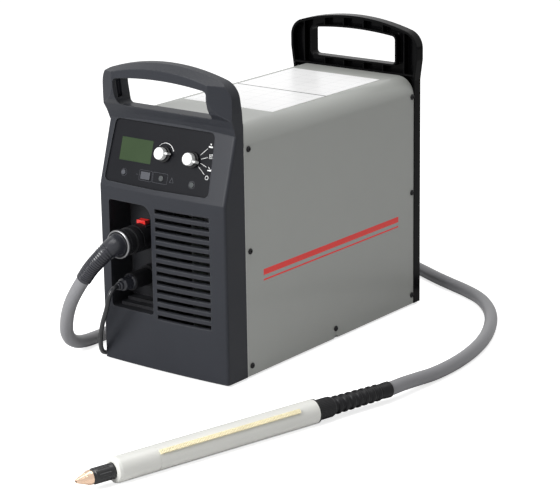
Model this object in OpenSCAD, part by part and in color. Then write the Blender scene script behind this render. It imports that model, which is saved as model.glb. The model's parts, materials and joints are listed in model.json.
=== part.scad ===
// Plasma cutter unit: an air plasma power supply with a straight machine torch and a work lead.
// The front faces -Y. The origin is on the floor under the middle of the casing.

/* [Casing] */
// Width over the front and rear mouldings
unit_w = 234; // [195:1:281]
// Depth from the front corners to the rear panel's back
unit_d = 493; // [411:1:592]
// Height of the cover's top above the floor
cover_top = 371; // [366:1:376]
// Height of the casing's underside above the floor
floor_gap = 3.5; // [2.5:0.5:12]
// Thickness of the cover's sheet
sheet = 1.5; // [1:0.1:2.5]
// Outer radius of the cover's top edges
cover_r = 30; // [15:1:34]
// Gap at the ends of the cover
cover_gap = 0.4; // [0.2:0.1:1]
// How far the cover's sides stand inside the mouldings' sides
cover_inset = 1; // [0.5:0.1:3]
// Radius of a front foot
foot_r = 10; // [6:0.5:14]

/* [Handles] */
// Height of the handles' tops above the floor
arch_top = 456; // [446:1:470]
// Radius of the handles' arched tops
arch_r = 357; // [300:1:500]
// Radius of the handles' shoulders
shoulder_r = 28; // [20:1:36]
// Height of the front grip bar
grip_h = 21.5; // [16:0.5:24]
// Height of the rear grip bar
rear_grip_h = 20; // [19:1:28]
// Radius of the grip bars' undersides
grip_under_r = 600; // [340:10:800]
// Width of the front hand opening
opening_w = 172; // [140:1:174]
// Width of the rear hand opening
rear_opening_w = 160; // [140:1:174]
// Height of the hand openings' lower edge above the floor
opening_z = 387; // [385:1:395]
// Corner radius of the hand openings
opening_r = 6; // [4:0.5:9]
// How far each leg of the front handle stands wider than the casing
front_flare = 2.5; // [0:0.1:3]
// How far each leg of the rear handle stands wider than the casing
rear_flare = 4.5; // [0:0.1:5]

/* [Front bezel] */
// Depth of the bezel's sides
bezel_d = 45.4; // [38:0.2:55]
// How far the front stands proud in the middle
crown = 3.6; // [3:0.1:8]
// Radius of the bezel's upright corners
corner_r = 4.5; // [4:0.5:12]
// Wall of the mouldings
wall = 4; // [3:0.1:5]
// Height at which the front starts to lean back
break_z = 268.3; // [265:0.1:271]
// Lean of the control panel
tilt = 16.68; // [16:0.1:17.5]
// Distance from the bezel's side to the louvres
louvre_margin = 28.2; // [20:0.2:40]
// Number of louvre slots
louvre_count = 13; // [5:1:13]
// Distance between louvre slots
louvre_pitch = 13.25; // [11:0.25:13.75]
// Height of one louvre slot
louvre_h = 6.8; // [4:0.2:7]
// Height of the lowest slot's middle
louvre_z = 85.9; // [60:0.1:90]

/* [Connector recess] */
// Distance from the bezel's side to the recess
recess_margin = 18.4; // [14:0.2:30]
// Width of the recess
recess_w = 81.5; // [76:0.5:90]
// Height of the recess's floor
recess_z = 86.6; // [80:0.2:92]
// Height of the recess
recess_h = 162.9; // [155:0.1:172]
// Depth of the recess behind the front corners
recess_d = 47; // [44:0.5:56]
// Radius of the recess's upper inner corner
recess_r = 18; // [8:1:24]
// Radius of the recess's other corners
recess_small_r = 5; // [3:0.5:8]
// Wall of the recess tub
tub_wall = 2.5; // [2:0.1:3.5]
// Height of the torch plug's axis
torch_z = 193; // [188:1:197]
// Distance of the torch plug's axis from the recess's left side
torch_in = 40.6; // [38:0.2:44]
// Height of the work plug's axis
work_z = 130; // [124:1:135]
// Distance of the work plug's axis from the recess's left side
work_in = 38.6; // [34:0.2:42]

/* [Plugs] */
// Radius of the torch plug's shell
plug_r = 18.5; // [16:0.25:19.5]
// Radius of the torch plug's collar ring
collar_r = 21.3; // [20:0.1:23]
// How far the collar ring stands in front of the front corners
collar_out = 31; // [30.5:0.1:31.5]
// Width of the collar ring
collar_w = 11; // [6:0.5:14]
// Radial clearance of the torch plug in its socket
plug_gap = 0.4; // [0.2:0.05:0.8]
// Radius of the torch socket's housing
socket_r = 20.5; // [20.3:0.1:24.5]
// Width of the release button
button_w = 16; // [10:0.5:18]
// Travel of the release button
button_travel = 3; // [2:0.25:4]
// Clearance round the buttons
button_gap = 0.3; // [0.2:0.05:0.5]
// Radius of the work plug's shell
work_plug_r = 13; // [11:0.25:14]
// How far the work plug's boot reaches in front of the front corners
work_boot_out = 33; // [32.5:0.1:33.5]

/* [Control panel] */
// Half width of the inset panel at its lower edge
panel_low = 97.5; // [90:0.5:98.5]
// Half width of the inset panel at its upper edge
panel_high = 92.5; // [90:0.5:94]
// How far the inset panel lies left of the middle
panel_shift = 11; // [9:0.5:12]
// Distance from the break up the slope to the panel's lower edge
panel_from = 8; // [6:0.5:10]
// Distance from the break up the slope to the panel's upper edge
panel_to = 100; // [96:0.5:102]
// Depth of the panel's face behind the corner plane
panel_sink = 1.5; // [1:0.1:2.5]
// Thickness of the printed overlay
overlay_t = 1; // [0.6:0.1:1.4]
// Radius of the knobs' caps
knob_r = 9.2; // [7:0.1:11]
// Height of the knobs over the panel
knob_h = 15; // [12:0.5:20]
// Radius of the knobs' shafts
shaft_r = 3; // [2:0.1:3.4]
// Radial running clearance of a shaft
shaft_gap = 0.05; // [0.02:0.01:0.1]
// Width of the display
lcd_w = 59; // [50:0.5:60]
// Height of the display
lcd_h = 34; // [26:0.5:34]
// Travel of the panel's push buttons
key_travel = 0.8; // [0.4:0.1:1.2]

/* [Torch] */
// Outer radius of the torch's sleeve
sleeve_r = 17.5; // [16.5:0.25:17.5]
// Length of the sleeve
sleeve_l = 329; // [280:1:329]
// Bore radius of the sleeve
sleeve_bore = 14.5; // [13.5:0.25:15]
// Length of the gear rack
rack_l = 230; // [150:5:240]
// Width of the gear rack
rack_w = 6; // [4:0.5:8]
// Tooth pitch of the gear rack
rack_pitch = 2.5; // [2:0.1:5]
// Length of the shield
shield_l = 25; // [20:0.5:28]
// Length of the retaining cap
cap_l = 30; // [25:0.5:34]
// Radius of the retaining cap
cap_r = 10.8; // [10:0.1:12]
// Radius of the torch lead
lead_r = 10; // [8:0.25:10.5]
// Radius of the work lead
cable_r = 3.5; // [3:0.1:4]

/* [Rear panel] */
// Depth of the rear panel's sides
rear_d = 16.8; // [14:0.2:24]
// Radius of the air grille
grille_r = 54; // [30:1:56]
// Height of the fan's axis
fan_z = 205; // [190:1:215]
// Width of the fan's frame
fan_w = 119; // [92:1:120]
// Depth of the fan's frame
fan_d = 38; // [25:1:40]
// Radius of the mains lead's entry
mains_r = 7; // [5:0.5:8]
// Height of the mains entry and the power switch
mains_z = 322; // [315:1:330]
// Radius of the air inlet's nipple
nipple_r = 6; // [5:0.25:7]

/* [Inside] */
// Thickness of the dividing panel
divider_t = 2; // [1.5:0.1:3]
// Number of heatsink fins
fin_count = 11; // [5:1:14]
// Radius of a bus capacitor
capacitor_r = 17.5; // [12:0.5:20]
// Length of a bus capacitor
capacitor_l = 50; // [30:1:55]

/* [Hidden] */

half_w = unit_w / 2;
front = -unit_d / 2;
rear = unit_d / 2;
eps = 0.01;

// The front handle's side profile: depth behind the front corners, and height
crest_z = cover_top - 7.8;
crest_y = (crest_z - break_z) * tan(tilt);
handle_inset = 0.1;
handle_profile = [[crest_y + 8, crest_z - 13], [crest_y, crest_z], [crest_y - 4.5, crest_z + 12],
    [crest_y - 11, crest_z + 24], [crest_y - 19, crest_z + 32], [crest_y - 23.5, crest_z + 40],
    [crest_y - 26.4, crest_z + 52], [crest_y - 26.4, crest_z + 120], [bezel_d - 11.6, crest_z + 120],
    [bezel_d - 11, crest_z + 76], [bezel_d - 8.5, crest_z + 52], [bezel_d - 4.5, crest_z + 30],
    [bezel_d - handle_inset, crest_z + 4], [bezel_d - handle_inset, crest_z - 13]];
leg_pocket = [[crest_y - 15, crest_z + 35], [crest_y - 19.5, crest_z + 62], [crest_y - 8, crest_z + 64],
    [crest_y - 4, crest_z + 36]];
// In plan the handle's legs slant forward from its sides to the opening
leg_back = 18.5;
leg_front = 2;
// The grip's upper front edge is turned down towards the front
grip_drop = 7.5;
grip_slope = 0.375;

// The handles' arch and shoulders
arch_z = arch_top - arch_r;

// The cover and what fits inside it
cover_half = half_w - cover_inset;
inner_half = cover_half - sheet;
cover_front = front + bezel_d + cover_gap;
cover_back = rear - rear_d - cover_gap;
lip_gap = 0.3;
lip_t = 2.5;
lip_l = 22;
screw_r = 1.9;
screw_hole_r = 2.2;
screw_head_r = 4.4;
screw_head_h = 2.4;
screw_front_y = cover_front + 11.2;
screw_back_y = cover_back - 4.8;
screw_low_z = floor_gap + 15;
screw_high_z = cover_top - cover_r - 0.5;
screw_places = [[screw_front_y, screw_low_z], [screw_front_y, 190.6], [screw_front_y, screw_high_z],
    [(screw_front_y + screw_back_y) / 2, screw_low_z], [screw_back_y, screw_low_z],
    [screw_back_y, 187], [screw_back_y, screw_high_z]];
pan_flange_h = 26;

// The recess and what plugs in there
recess_x = -half_w + recess_margin;
recess_right = recess_x + recess_w;
louvre_left = recess_right + 7.8;
louvre_right = half_w - louvre_margin;
torch_x = recess_x + torch_in;
work_x = recess_x + work_in;
socket_face = front + 6;
plug_back = front + 20;
work_boot_l = 30;
button_y = front + 22;
button_d = 10;
button_top = torch_z + 25;
button_pocket = torch_z + 6;
spring_l = button_travel + 5;

// The control panel
panel_face = panel_sink;
shelf_t = 3;
board_y = 20;
board_t = 1.6;
adjust_at = [-5.2, 59];
mode_at = [47.2, 58];
pressure_at = [-75, 24];
selector_at = [-34, 24];
power_lamp_at = [51.5, 22.5];
fault_lamp_at = [-5, 24];
lcd_at = [-58.5, 58];
key_r = 3.6;
selector_w = 17;
selector_h = 11;
lamp_r = 4;
bushing_r = 5;

// The torch lies on the floor to the right of the unit
torch_turn = -14.57;
sleeve_from = shield_l + cap_l;
sleeve_to = sleeve_from + sleeve_l;
relief_l = 138;
relief_bore_l = 40;
torch_way = [-sin(torch_turn), cos(torch_turn), 0];
torch_tail = [333.39, -156.9, sleeve_r];
torch_tip = torch_tail - (sleeve_to + relief_l) * torch_way;
rack_from = sleeve_from + 66;

// The leads' routes, drawn for a casing of 234 by 493 and moved with its sides
wider = half_w - 117;
deeper = rear - 246.5;
function placed(p) = [p.x < 0 ? p.x - wider : p.x,
    p.y > 100 ? p.y + deeper : p.x < 0 && p.y < -100 ? p.y - deeper : p.y, p.z];
lead_route = [[torch_x + wider, front - collar_out + 1 + deeper, torch_z], [-58, -288, 192],
    [-61, -298, 187], [-68, -306, 177], [-79, -312, 163], [-93, -314, 144], [-106, -315.5, 125],
    [-120, -313, 105], [-134, -306, 84], [-147.5, -295.5, 63.5], [-158.5, -284, 43],
    [-166, -269, 27.5], [-171, -250.5, 17.2], [-174, -228, 11.7], [-175.5, -204, 10], [-176, -170, 10],
    [-177, -130, 10], [-176.5, -85, 10],
    [-175, -30, 10], [-173, 30, 10], [-172, 90, 10], [-172, 150, 10], [-172, 205, 10],
    [-170, 255, 10], [-162, 305, 10], [-144, 350, 10], [-115, 383, 10], [-77, 400, 10],
    [-37, 400, 10], [4, 388, 10], [40, 371, 10], [78, 352, 10], [118, 334, 10], [160, 316, 10],
    [198, 295, 10], [232, 265, 10], [262, 228, 10], [288, 184, 10], [312, 130, 10],
    [331, 62, 10], [339, -5, 10], [339, -55, 11], [336.5, -95, 14], [335.4, -125, sleeve_r - 1],
    torch_tail, torch_tail - relief_bore_l * torch_way];
boot_rings = 6;
cable_route = [[work_x + wider, front - work_boot_out + deeper, work_z], [-60.1, -285.5, 129],
    [-60.6, -290.5, 125.8], [-61.6, -293.7, 120.8], [-63.2, -294.6, 114.8], [-66.4, -293.9, 106.5],
    [-71.5, -291.4, 96], [-79, -287.3, 84.5], [-88, -282, 71], [-97, -275.5, 57],
    [-104.5, -269.5, 43.5], [-111, -263, 30.5], [-116.5, -256, 19], [-121, -247.5, 10.3],
    [-124.3, -236.5, 5.2], [-126, -223, 3.6], [-127, -205, 3.5], [-127, -110, 3.5],
    [-127, -20, 3.5], [-127, 70, 3.5], [-127, 160, 3.5], [-126, 210, 3.5], [-121, 250, 3.5],
    [-111, 282, 4], [-104, 302, 4.5], [-102.5, 318, 4.7]];
tail_route = [[-50, 263, 25.7], [-62, 263, 26.2], [-75, 263.3, 27.5], [-88, 264, 29.5],
    [-101.9, 266.7, 31.5],
    [-114.2, 274.8, 33.8], [-122.3, 287.1, 36.1], [-125, 301, 38.2], [-122.3, 314.9, 40],
    [-114.2, 327.2, 41.5], [-101.9, 335.3, 42.4], [-88, 338, 42.8], [-72, 338, 42.8]];
coil_at = [-50 - wider, 315.5 + deeper];
coil_turn_r = 42;
coil_layers = 4;
coil_low = 1.2;
coil_high = coil_low + 2 * cable_r * coil_layers;

// The work clamp lies on the coil
pin_head = 1.6;
clamp_at = [coil_at.x + 30, coil_at.y + 0.5, coil_high + pin_head];
clamp_h = 24;
clamp_t = 2.4;
pin_r = 3;

// The rear panel's fittings
fan_x = 12;
fan_back = rear - wall;
hub_r = 20;
blade_count = 7;
mains_x = -70;
switch_x = 72;
filter_x = -72;
filter_z = 120;

// ---------- shapes that repeat ----------

// Plan of the bezel: a front crowned by a bulge, with round corners, inset by a wall
function plan_points(inset, bulge) =
    let (r = (half_w * half_w + bulge * bulge) / (2 * bulge), mid = r - bulge,
        x = half_w - corner_r, y = mid - sqrt(pow(r - corner_r, 2) - x * x), turn = atan2(x, mid - y),
        front_arc = [for (i = [0 : 14]) let (a = turn * (i / 7 - 1)) [(r - inset) * sin(a),
            mid - (r - inset) * cos(a)]],
        corner = [for (i = [1 : 5]) let (a = turn + (90 - turn) * i / 5)
            [x + (corner_r - inset) * sin(a), y - (corner_r - inset) * cos(a)]])
    concat(front_arc, corner, [[half_w - inset, 200], [inset - half_w, 200]],
        [for (i = [4 : -1 : 0]) [-corner[i].x, corner[i].y]]);
module plan_shape(inset, bulge) polygon(plan_points(inset, bulge));

// Front view of a moulding: straight sides, legs that flare above the casing, and an arched top with
// round shoulders
module arch_shape(inset, flare) {
    reach = shoulder_r + 20;
    x = half_w - shoulder_r + flare;
    z = arch_z + sqrt(pow(arch_r - shoulder_r, 2) - x * x);
    way = [x, z - arch_z] / (arch_r - shoulder_r);
    intersection() {
        translate([0, arch_z]) circle(arch_r - inset, $fn = 240);
        polygon([[-x, z], [-x - way.x * reach, z + way.y * reach], [x + way.x * reach, z + way.y * reach],
            [x, z]]);
    }
    for (s = [-1, 1]) translate([s * x, z]) circle(shoulder_r - inset, $fn = 64);
    low = half_w - inset;
    polygon([[-low, floor_gap + inset], [low, floor_gap + inset], [low, crest_z + 2],
        [low + flare, crest_z + 34], [low + flare, z], [x, z], [x, z + eps], [-x, z + eps], [-x, z],
        [-low - flare, z], [-low - flare, crest_z + 34], [-low, crest_z + 2]]);
}

// Hand opening of a handle under its grip bar, grown by a wall
module opening_shape(grow, width, grip) {
    offset(r = opening_r + grow, $fn = 32) offset(delta = -opening_r)
        intersection() {
            translate([0, arch_top - grip - grip_under_r]) circle(grip_under_r, $fn = 360);
            translate([-width / 2, opening_z]) square([width, 80]);
        }
}

// A shape drawn in X and Z, carried along Y from one place to another
module along_y(from, to) {
    translate([0, to, 0]) rotate([90, 0, 0]) linear_extrude(to - from) children();
}

// A shape drawn in Y and Z, carried along X to both sides
module along_x(from, to) {
    translate([from, 0, 0]) rotate([90, 0, 90]) linear_extrude(to - from) children();
}

// The control panel's own frame: X across, Z up the slope, Y inwards
module on_panel(at = [0, 0], depth = 0) {
    translate([0, front, break_z]) rotate([-tilt, 0, 0]) translate([at.x, depth, at.y]) children();
}

// A round piece that stands out of the panel's face
module panel_round(r, from, to) {
    translate([0, from, 0]) rotate([-90, 0, 0]) cylinder(h = to - from, r = r, $fn = 48);
}

// The torch's own frame: Z from the tip along the torch
module on_torch(at = 0) {
    translate(torch_tip) rotate([0, 0, torch_turn]) rotate([-90, 0, 0]) translate([0, 0, at]) children();
}

// A rectangle with round corners, drawn from its middle
module round_rect(w, h, r) {
    for (s = [-1, 1]) translate([s * (w / 2 - r), 0]) square([2 * r, h - 2 * r], center = true);
    square([w - 2 * r, h], center = true);
    for (x = [-1, 1], y = [-1, 1]) translate([x * (w / 2 - r), y * (h / 2 - r)]) circle(r, $fn = 32);
}

function unit(v) = v / norm(v);
function heading(p, i) =
    i == 0 ? unit(p[1] - p[0]) :
    i == len(p) - 1 ? unit(p[i] - p[i - 1]) : unit(unit(p[i + 1] - p[i]) + unit(p[i] - p[i - 1]));

// A tube carried along points, with one radius for each
module swept(path, radii, sides) {
    rings = len(path);
    points = [for (i = [0 : rings - 1])
        let (t = heading(path, i), u = unit(cross([0, 0, 1], t)), v = cross(t, u))
        for (k = [0 : sides - 1])
            path[i] + radii[i] * (cos(360 * k / sides) * u + sin(360 * k / sides) * v)];
    walls = [for (i = [0 : rings - 2], k = [0 : sides - 1])
        let (a = i * sides + k, b = i * sides + (k + 1) % sides)
        each [[a, a + sides, b + sides], [a, b + sides, b]]];
    polyhedron(points, concat([[for (k = [0 : sides - 1]) k]], walls,
        [[for (k = [sides - 1 : -1 : 0]) (rings - 1) * sides + k]]), convexity = 10);
}

// ---------- casing ----------

// Everything behind the bezel's crowned front, which leans back from a point of its side, inset by a wall
module behind_front(lean, inset = 0) {
    translate([0, front, break_z]) rotate([-lean, 0, 0]) translate([0, 0, -300])
        linear_extrude(600) plan_shape(inset, crown * cos(lean));
}

// The bezel's body, solid, up to where the handle has taken over
module bezel_body() {
    intersection() {
        behind_front(0);
        behind_front(tilt);
        translate([-half_w - 1, front - 30, floor_gap])
            cube([unit_w + 2, 30 + bezel_d, crest_z + 16 - floor_gap]);
    }
}

// The front handle leans forward again above the panel, and stands a hair inside the body's sides
module front_handle() {
    intersection() {
        along_x(-half_w - 5, half_w + 5) translate([front, 0]) polygon(handle_profile);
        translate([0, front, crest_z - 20]) linear_extrude(140) polygon([[-half_w - 5, bezel_d + 5],
            [-half_w - 5, leg_back - 2], [-half_w - front_flare, leg_back], [-opening_w / 2 - 2, leg_front],
            [-30, 0.4], [30, 0.4], [opening_w / 2 + 2, leg_front], [half_w + front_flare, leg_back],
            [half_w + 5, leg_back - 2], [half_w + 5, bezel_d + 5]]);
        translate([0, front, arch_z]) rotate([-90, 0, 0]) cylinder(h = bezel_d + 5,
            r1 = arch_r - grip_drop, r2 = arch_r - grip_drop + grip_slope * (bezel_d + 5), $fn = 240);
        along_y(front - 30, front + bezel_d + 5) difference() {
            arch_shape(handle_inset, front_flare);
            opening_shape(0, opening_w, grip_h);
        }
    }
}

// The room inside the bezel, which is open at the back and keeps a flat shelf behind the panel
module bezel_inside() {
    intersection() {
        behind_front(0, wall);
        on_panel(depth = panel_face + overlay_t + shelf_t) translate([-300, 0, -400]) cube([600, 400, 600]);
        translate([-300, front - 20, floor_gap + wall])
            cube([600, 30 + bezel_d, crest_z - 1.5 - floor_gap - wall]);
    }
}

module recess_shape(grow) {
    r = recess_r + grow;
    s = recess_small_r + grow;
    x0 = recess_x - grow;
    x1 = recess_right + grow;
    z0 = recess_z - grow;
    z1 = recess_z + recess_h + grow;
    difference() {
        translate([x0, z0]) square([x1 - x0, z1 - z0]);
        translate([x1 - r, z1 - r]) square([r + 1, r + 1]);
        translate([x0 - 1, z1 - s]) square([s + 1, s + 1]);
        for (x = [x0 - 1, x1 - s]) translate([x, z0 - 1]) square([s + 1, s + 1]);
    }
    translate([x1 - r, z1 - r]) circle(r, $fn = 64);
    translate([x0 + s, z1 - s]) circle(s, $fn = 32);
    for (x = [x0 + s, x1 - s]) translate([x, z0 + s]) circle(s, $fn = 32);
}

module panel_shape(grow) {
    offset(r = 8 + grow, $fn = 32) offset(delta = -8)
        translate([-panel_shift, 0]) polygon([[-panel_low, panel_from], [0, panel_from - 2],
            [panel_low, panel_from], [panel_high, panel_to], [-panel_high, panel_to]]);
}

// Lip inside the cover that the cover's screws hold
module cover_lip(from, to) {
    half = inner_half - lip_gap;
    top = cover_top - sheet - lip_gap;
    r = cover_r - sheet - lip_gap;
    along_y(from, to) difference() {
        cover_shape(half, top, r, pan_flange_h + floor_gap + 3);
        cover_shape(half - lip_t, top - lip_t, r - lip_t, 0);
    }
}

module front_bezel() color([0.25, 0.26, 0.29]) difference() {
    union() {
        difference() {
            union() {
                bezel_body();
                front_handle();
            }
            bezel_inside();
        }
        cover_lip(front + bezel_d - wall, cover_front + lip_l);
    }
    // the recess's window and the louvres
    along_y(front - 10, front + 20) recess_shape(0);
    for (i = [0 : louvre_count - 1])
        translate([louvre_left, front - 1, louvre_z + i * louvre_pitch]) rotate([20, 0, 0])
            translate([0, -12, -louvre_h / 2]) cube([louvre_right - louvre_left, 30, louvre_h]);
    // the control panel's inset and what passes through its shelf
    on_panel(depth = -20) rotate([90, 0, 0]) mirror([0, 0, 1])
        linear_extrude(20 + panel_face + overlay_t) panel_shape(0);
    on_panel(lcd_at) translate([-lcd_w / 2 - 1, 0, -lcd_h / 2 - 1]) cube([lcd_w + 2, 20, lcd_h + 2]);
    for (at = [adjust_at, mode_at]) on_panel(at) panel_round(bushing_r + 0.2, 0, 20);
    on_panel(pressure_at) panel_round(key_r + button_gap, 0, 20);
    for (at = [power_lamp_at, fault_lamp_at]) on_panel(at) panel_round(lamp_r + 0.1, 0, 20);
    on_panel(selector_at) translate([-selector_w / 2 - button_gap, 0, -selector_h / 2 - button_gap])
        cube([selector_w + 2 * button_gap, 20, selector_h + 2 * button_gap]);
    // pockets inside the handle's legs
    for (s = [-1, 1]) along_x(s * (opening_w / 2 + 2) - 4, s * (opening_w / 2 + 2) + 4)
        translate([front, 0]) polygon(leg_pocket);
    bezel_screw_holes();
}

module bezel_screw_holes() {
    for (p = screw_places) translate([-half_w - 5, p.x, p.y]) rotate([0, 90, 0])
        cylinder(h = unit_w + 10, r = screw_r + 0.05, $fn = 32);
}

module rear_opening(grow) opening_shape(grow, rear_opening_w, rear_grip_h);

module rear_panel() color([0.08, 0.085, 0.09]) difference() {
    union() {
        along_y(rear - wall, rear) arch_shape(0, rear_flare);
        along_y(rear - rear_d, rear) difference() {
            arch_shape(0, rear_flare);
            arch_shape(wall, rear_flare);
        }
        along_y(rear - rear_d, rear) difference() {
            rear_opening(3);
            rear_opening(0);
        }
        // base of the handle and its ribs
        translate([wall - half_w - 1, rear - rear_d, cover_top]) cube([unit_w - 2 * wall + 2, rear_d, 3]);
        intersection() {
            along_y(rear - rear_d + 1.5, rear) difference() {
                arch_shape(1, rear_flare);
                rear_opening(1);
            }
            for (x = [-96, -56, -19, 19, 56, 96]) translate([x - 1, rear - rear_d, cover_top + 1])
                cube([2, rear_d, 100]);
        }
        cover_lip(cover_back - 15, rear - wall / 2);
    }
    along_y(rear - rear_d - 1, rear + 1) rear_opening(0);
    bezel_screw_holes();
    // air grille
    intersection() {
        translate([fan_x, rear - 8, fan_z]) rotate([-90, 0, 0]) cylinder(h = 12, r = grille_r, $fn = 96);
        for (i = [-5 : 5]) translate([fan_x - grille_r, rear - 8, fan_z + i * grille_r / 5.5 - 2.8])
            cube([2 * grille_r, 12, 5.6]);
    }
    for (p = [[mains_x, mains_z, mains_r + 5], [switch_x, mains_z, 11], [filter_x, filter_z, 7]])
        translate([p.x, rear - 8, p.y]) rotate([-90, 0, 0]) cylinder(h = 12, r = p[2], $fn = 48);
}

module cover_shape(half, top, r, low) {
    translate([-half, low]) square([2 * half, top - r - low]);
    translate([r - half, top - r - eps]) square([2 * (half - r), r + eps]);
    for (s = [-1, 1]) translate([s * (half - r), top - r]) circle(r, $fn = 96);
}

module cover() color([0.70, 0.71, 0.70]) difference() {
    along_y(cover_front, cover_back) difference() {
        cover_shape(cover_half, cover_top, cover_r, floor_gap);
        cover_shape(inner_half, cover_top - sheet, cover_r - sheet, -10);
    }
    for (p = screw_places) translate([-half_w - 5, p.x, p.y]) rotate([0, 90, 0])
        cylinder(h = unit_w + 10, r = screw_hole_r, $fn = 32);
    // notches under the middle screws
    for (s = [-1, 1]) translate([s * half_w, screw_places[3].x, floor_gap]) rotate([0, 90, 0])
        cylinder(h = 20, r = 5, center = true, $fn = 32);
}

module base_pan() color([0.62, 0.63, 0.63]) difference() {
    union() {
        translate([-inner_half + lip_gap, cover_front, floor_gap])
            cube([2 * (inner_half - lip_gap), cover_back - cover_front, sheet]);
        for (s = [-1, 1]) translate([s * (inner_half - lip_gap - sheet / 2) - sheet / 2, cover_front,
            floor_gap])
            cube([sheet, cover_back - cover_front, pan_flange_h]);
    }
    bezel_screw_holes();
}

module feet() color([0.10, 0.10, 0.10])
    for (x = [-1, 1], f = [[front + 22, foot_r], [rear - rear_d / 2, rear_d / 2 - 0.4]])
        translate([x * (half_w - 25), f[0], 0]) cylinder(h = floor_gap, r = f[1], $fn = 48);

module cover_screws() color([0.12, 0.12, 0.13])
    for (s = [-1, 1], p = screw_places) translate([s * cover_half, p.x, p.y]) rotate([0, s * 90, 0])
        difference() {
        union() {
            rotate_extrude($fn = 48) polygon([[0, 0], [screw_head_r, 0], [screw_head_r, 1],
                [screw_head_r - 0.6, 1.8], [screw_head_r - 1.8, screw_head_h], [0, screw_head_h]]);
            translate([0, 0, -8]) cylinder(h = 8 + eps, r = screw_r, $fn = 32);
        }
        translate([0, 0, screw_head_h - 1.5]) cylinder(h = 3, r = 1.7, $fn = 6);
    }

label_half = half_w - 34;
label_seam = front + 288;

module top_labels() color([0.93, 0.93, 0.92]) {
    translate([-label_half, front + 158, cover_top]) cube([2 * label_half, label_seam - front - 160, 0.4]);
    translate([-label_half, label_seam, cover_top]) cube([2 * label_half, rear - label_seam - 62, 0.4]);
}

// ---------- connector recess ----------

module connector_tub() color([0.10, 0.10, 0.11]) {
    tub_shell();
    // two steps along the tub's floor
    for (i = [0, 1]) translate([recess_x + recess_small_r, front + 14 + 14 * i, recess_z - 0.3])
        cube([recess_w - 2 * recess_small_r, recess_d - 13.9 - 14 * i, 4 + 4 * i]);
}

module tub_shell() difference() {
    union() {
        along_y(front - 1, front + recess_d + tub_wall) recess_shape(tub_wall + 0.2);
        along_y(front - 1, front + wall + 2) recess_shape(tub_wall + 4);
    }
    along_y(front - 10, front + recess_d) recess_shape(0.2);
    // the flange follows the inside of the bezel's front and of its panel shelf
    translate([0, front, 0]) difference() {
        translate([-half_w, -40, 0]) cube([unit_w, 60, 300]);
        linear_extrude(300) plan_shape(wall, crown);
    }
    on_panel(depth = panel_face + overlay_t + shelf_t) translate([-half_w, -100, -100])
        cube([unit_w, 100, 120]);
    for (p = [[torch_x, torch_z, 17], [work_x, work_z, 9]])
        translate([p.x, front + recess_d - 1, p.y]) rotate([-90, 0, 0])
            cylinder(h = 10, r = p[2], $fn = 48);
}

// Housing on the recess's back wall that takes the torch plug, with a pocket for its release button
module torch_socket() color([0.12, 0.12, 0.13]) difference() {
    union() {
        translate([torch_x, socket_face, torch_z]) rotate([-90, 0, 0])
            cylinder(h = front + recess_d - socket_face, r = socket_r, $fn = 64);
        translate([torch_x - 13, front + 18, torch_z]) cube([26, recess_d - 18, socket_r - 3]);
        translate([torch_x, front + recess_d - eps, torch_z]) rotate([-90, 0, 0])
            cylinder(h = 14, r = 16.5, $fn = 64);
    }
    translate([torch_x, socket_face - 1, torch_z]) rotate([-90, 0, 0])
        cylinder(h = plug_back - socket_face + 1 + plug_gap, r = plug_r + plug_gap, $fn = 64);
    translate([torch_x - button_w / 2 - button_gap, button_y - button_gap, button_pocket])
        cube([button_w + 2 * button_gap, button_d + 2 * button_gap, 40]);
}

module release_button() color([0.85, 0.10, 0.08]) difference() {
    translate([torch_x - button_w / 2, button_y, button_pocket + spring_l])
        cube([button_w, button_d, button_top - button_pocket - spring_l]);
    translate([torch_x, button_y + button_d / 2, button_top + 14]) rotate([0, 90, 0])
        cylinder(h = 40, r = 15, center = true, $fn = 64);
}

spring_wire = 0.4;
spring_turns = 4;
spring_points = [for (a = [0 : 30 : 360 * spring_turns])
    [3.4 * cos(a), 3.4 * sin(a), spring_wire + (spring_l - 2 * spring_wire) * a / (360 * spring_turns)]];

module release_spring() color([0.6, 0.6, 0.62])
    translate([torch_x, button_y + button_d / 2, button_pocket])
        swept(spring_points, [for (p = spring_points) spring_wire], 6);

module torch_plug() color([0.13, 0.13, 0.14]) difference() {
    union() {
        translate([torch_x, front - collar_out + 1, torch_z]) rotate([-90, 0, 0])
            cylinder(h = plug_back - front + collar_out - 1, r = plug_r, $fn = 64);
        translate([torch_x, front - 8, torch_z]) rotate([-90, 0, 0])
            cylinder(h = 10, r = collar_r - 0.8, $fn = 64);
    }
    for (a = [0 : 60 : 300]) translate([torch_x, plug_back + eps, torch_z]) rotate([90, a, 0])
        translate([9, 0, 0]) cylinder(h = 8, r = 2, $fn = 24);
}

module plug_collar() color([0.35, 0.36, 0.37])
    translate([torch_x, front - collar_out, torch_z]) rotate([-90, 0, 0])
        rotate_extrude($fn = 96) polygon([[plug_r, 1], [collar_r - 1.5, 0], [collar_r, 1.5],
            [collar_r, collar_w - 1], [collar_r - 1, collar_w], [plug_r, collar_w]]);

module torch_boot() color([0.10, 0.10, 0.11])
    swept([for (i = [0 : boot_rings - 1]) placed(lead_route[i])], [17.5, 14.8, 13, 12.4, 11.9, 11.5], 16);

module torch_lead() color([0.45, 0.46, 0.47])
    swept([for (i = [boot_rings - 1 : len(lead_route) - 1]) placed(lead_route[i])],
        [for (i = [boot_rings - 1 : len(lead_route) - 1]) lead_r], 12);

module work_socket() color([0.12, 0.12, 0.13]) difference() {
    union() {
        translate([work_x, front + 34, work_z]) rotate([-90, 0, 0])
            cylinder(h = recess_d - 34, r = 16, $fn = 64);
        translate([work_x, front + recess_d - eps, work_z]) rotate([-90, 0, 0])
            cylinder(h = 20, r = 8.5, $fn = 48);
    }
    translate([work_x, front + 33, work_z]) rotate([-90, 0, 0])
        cylinder(h = 13, r = 7 + plug_gap, $fn = 48);
}

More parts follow.
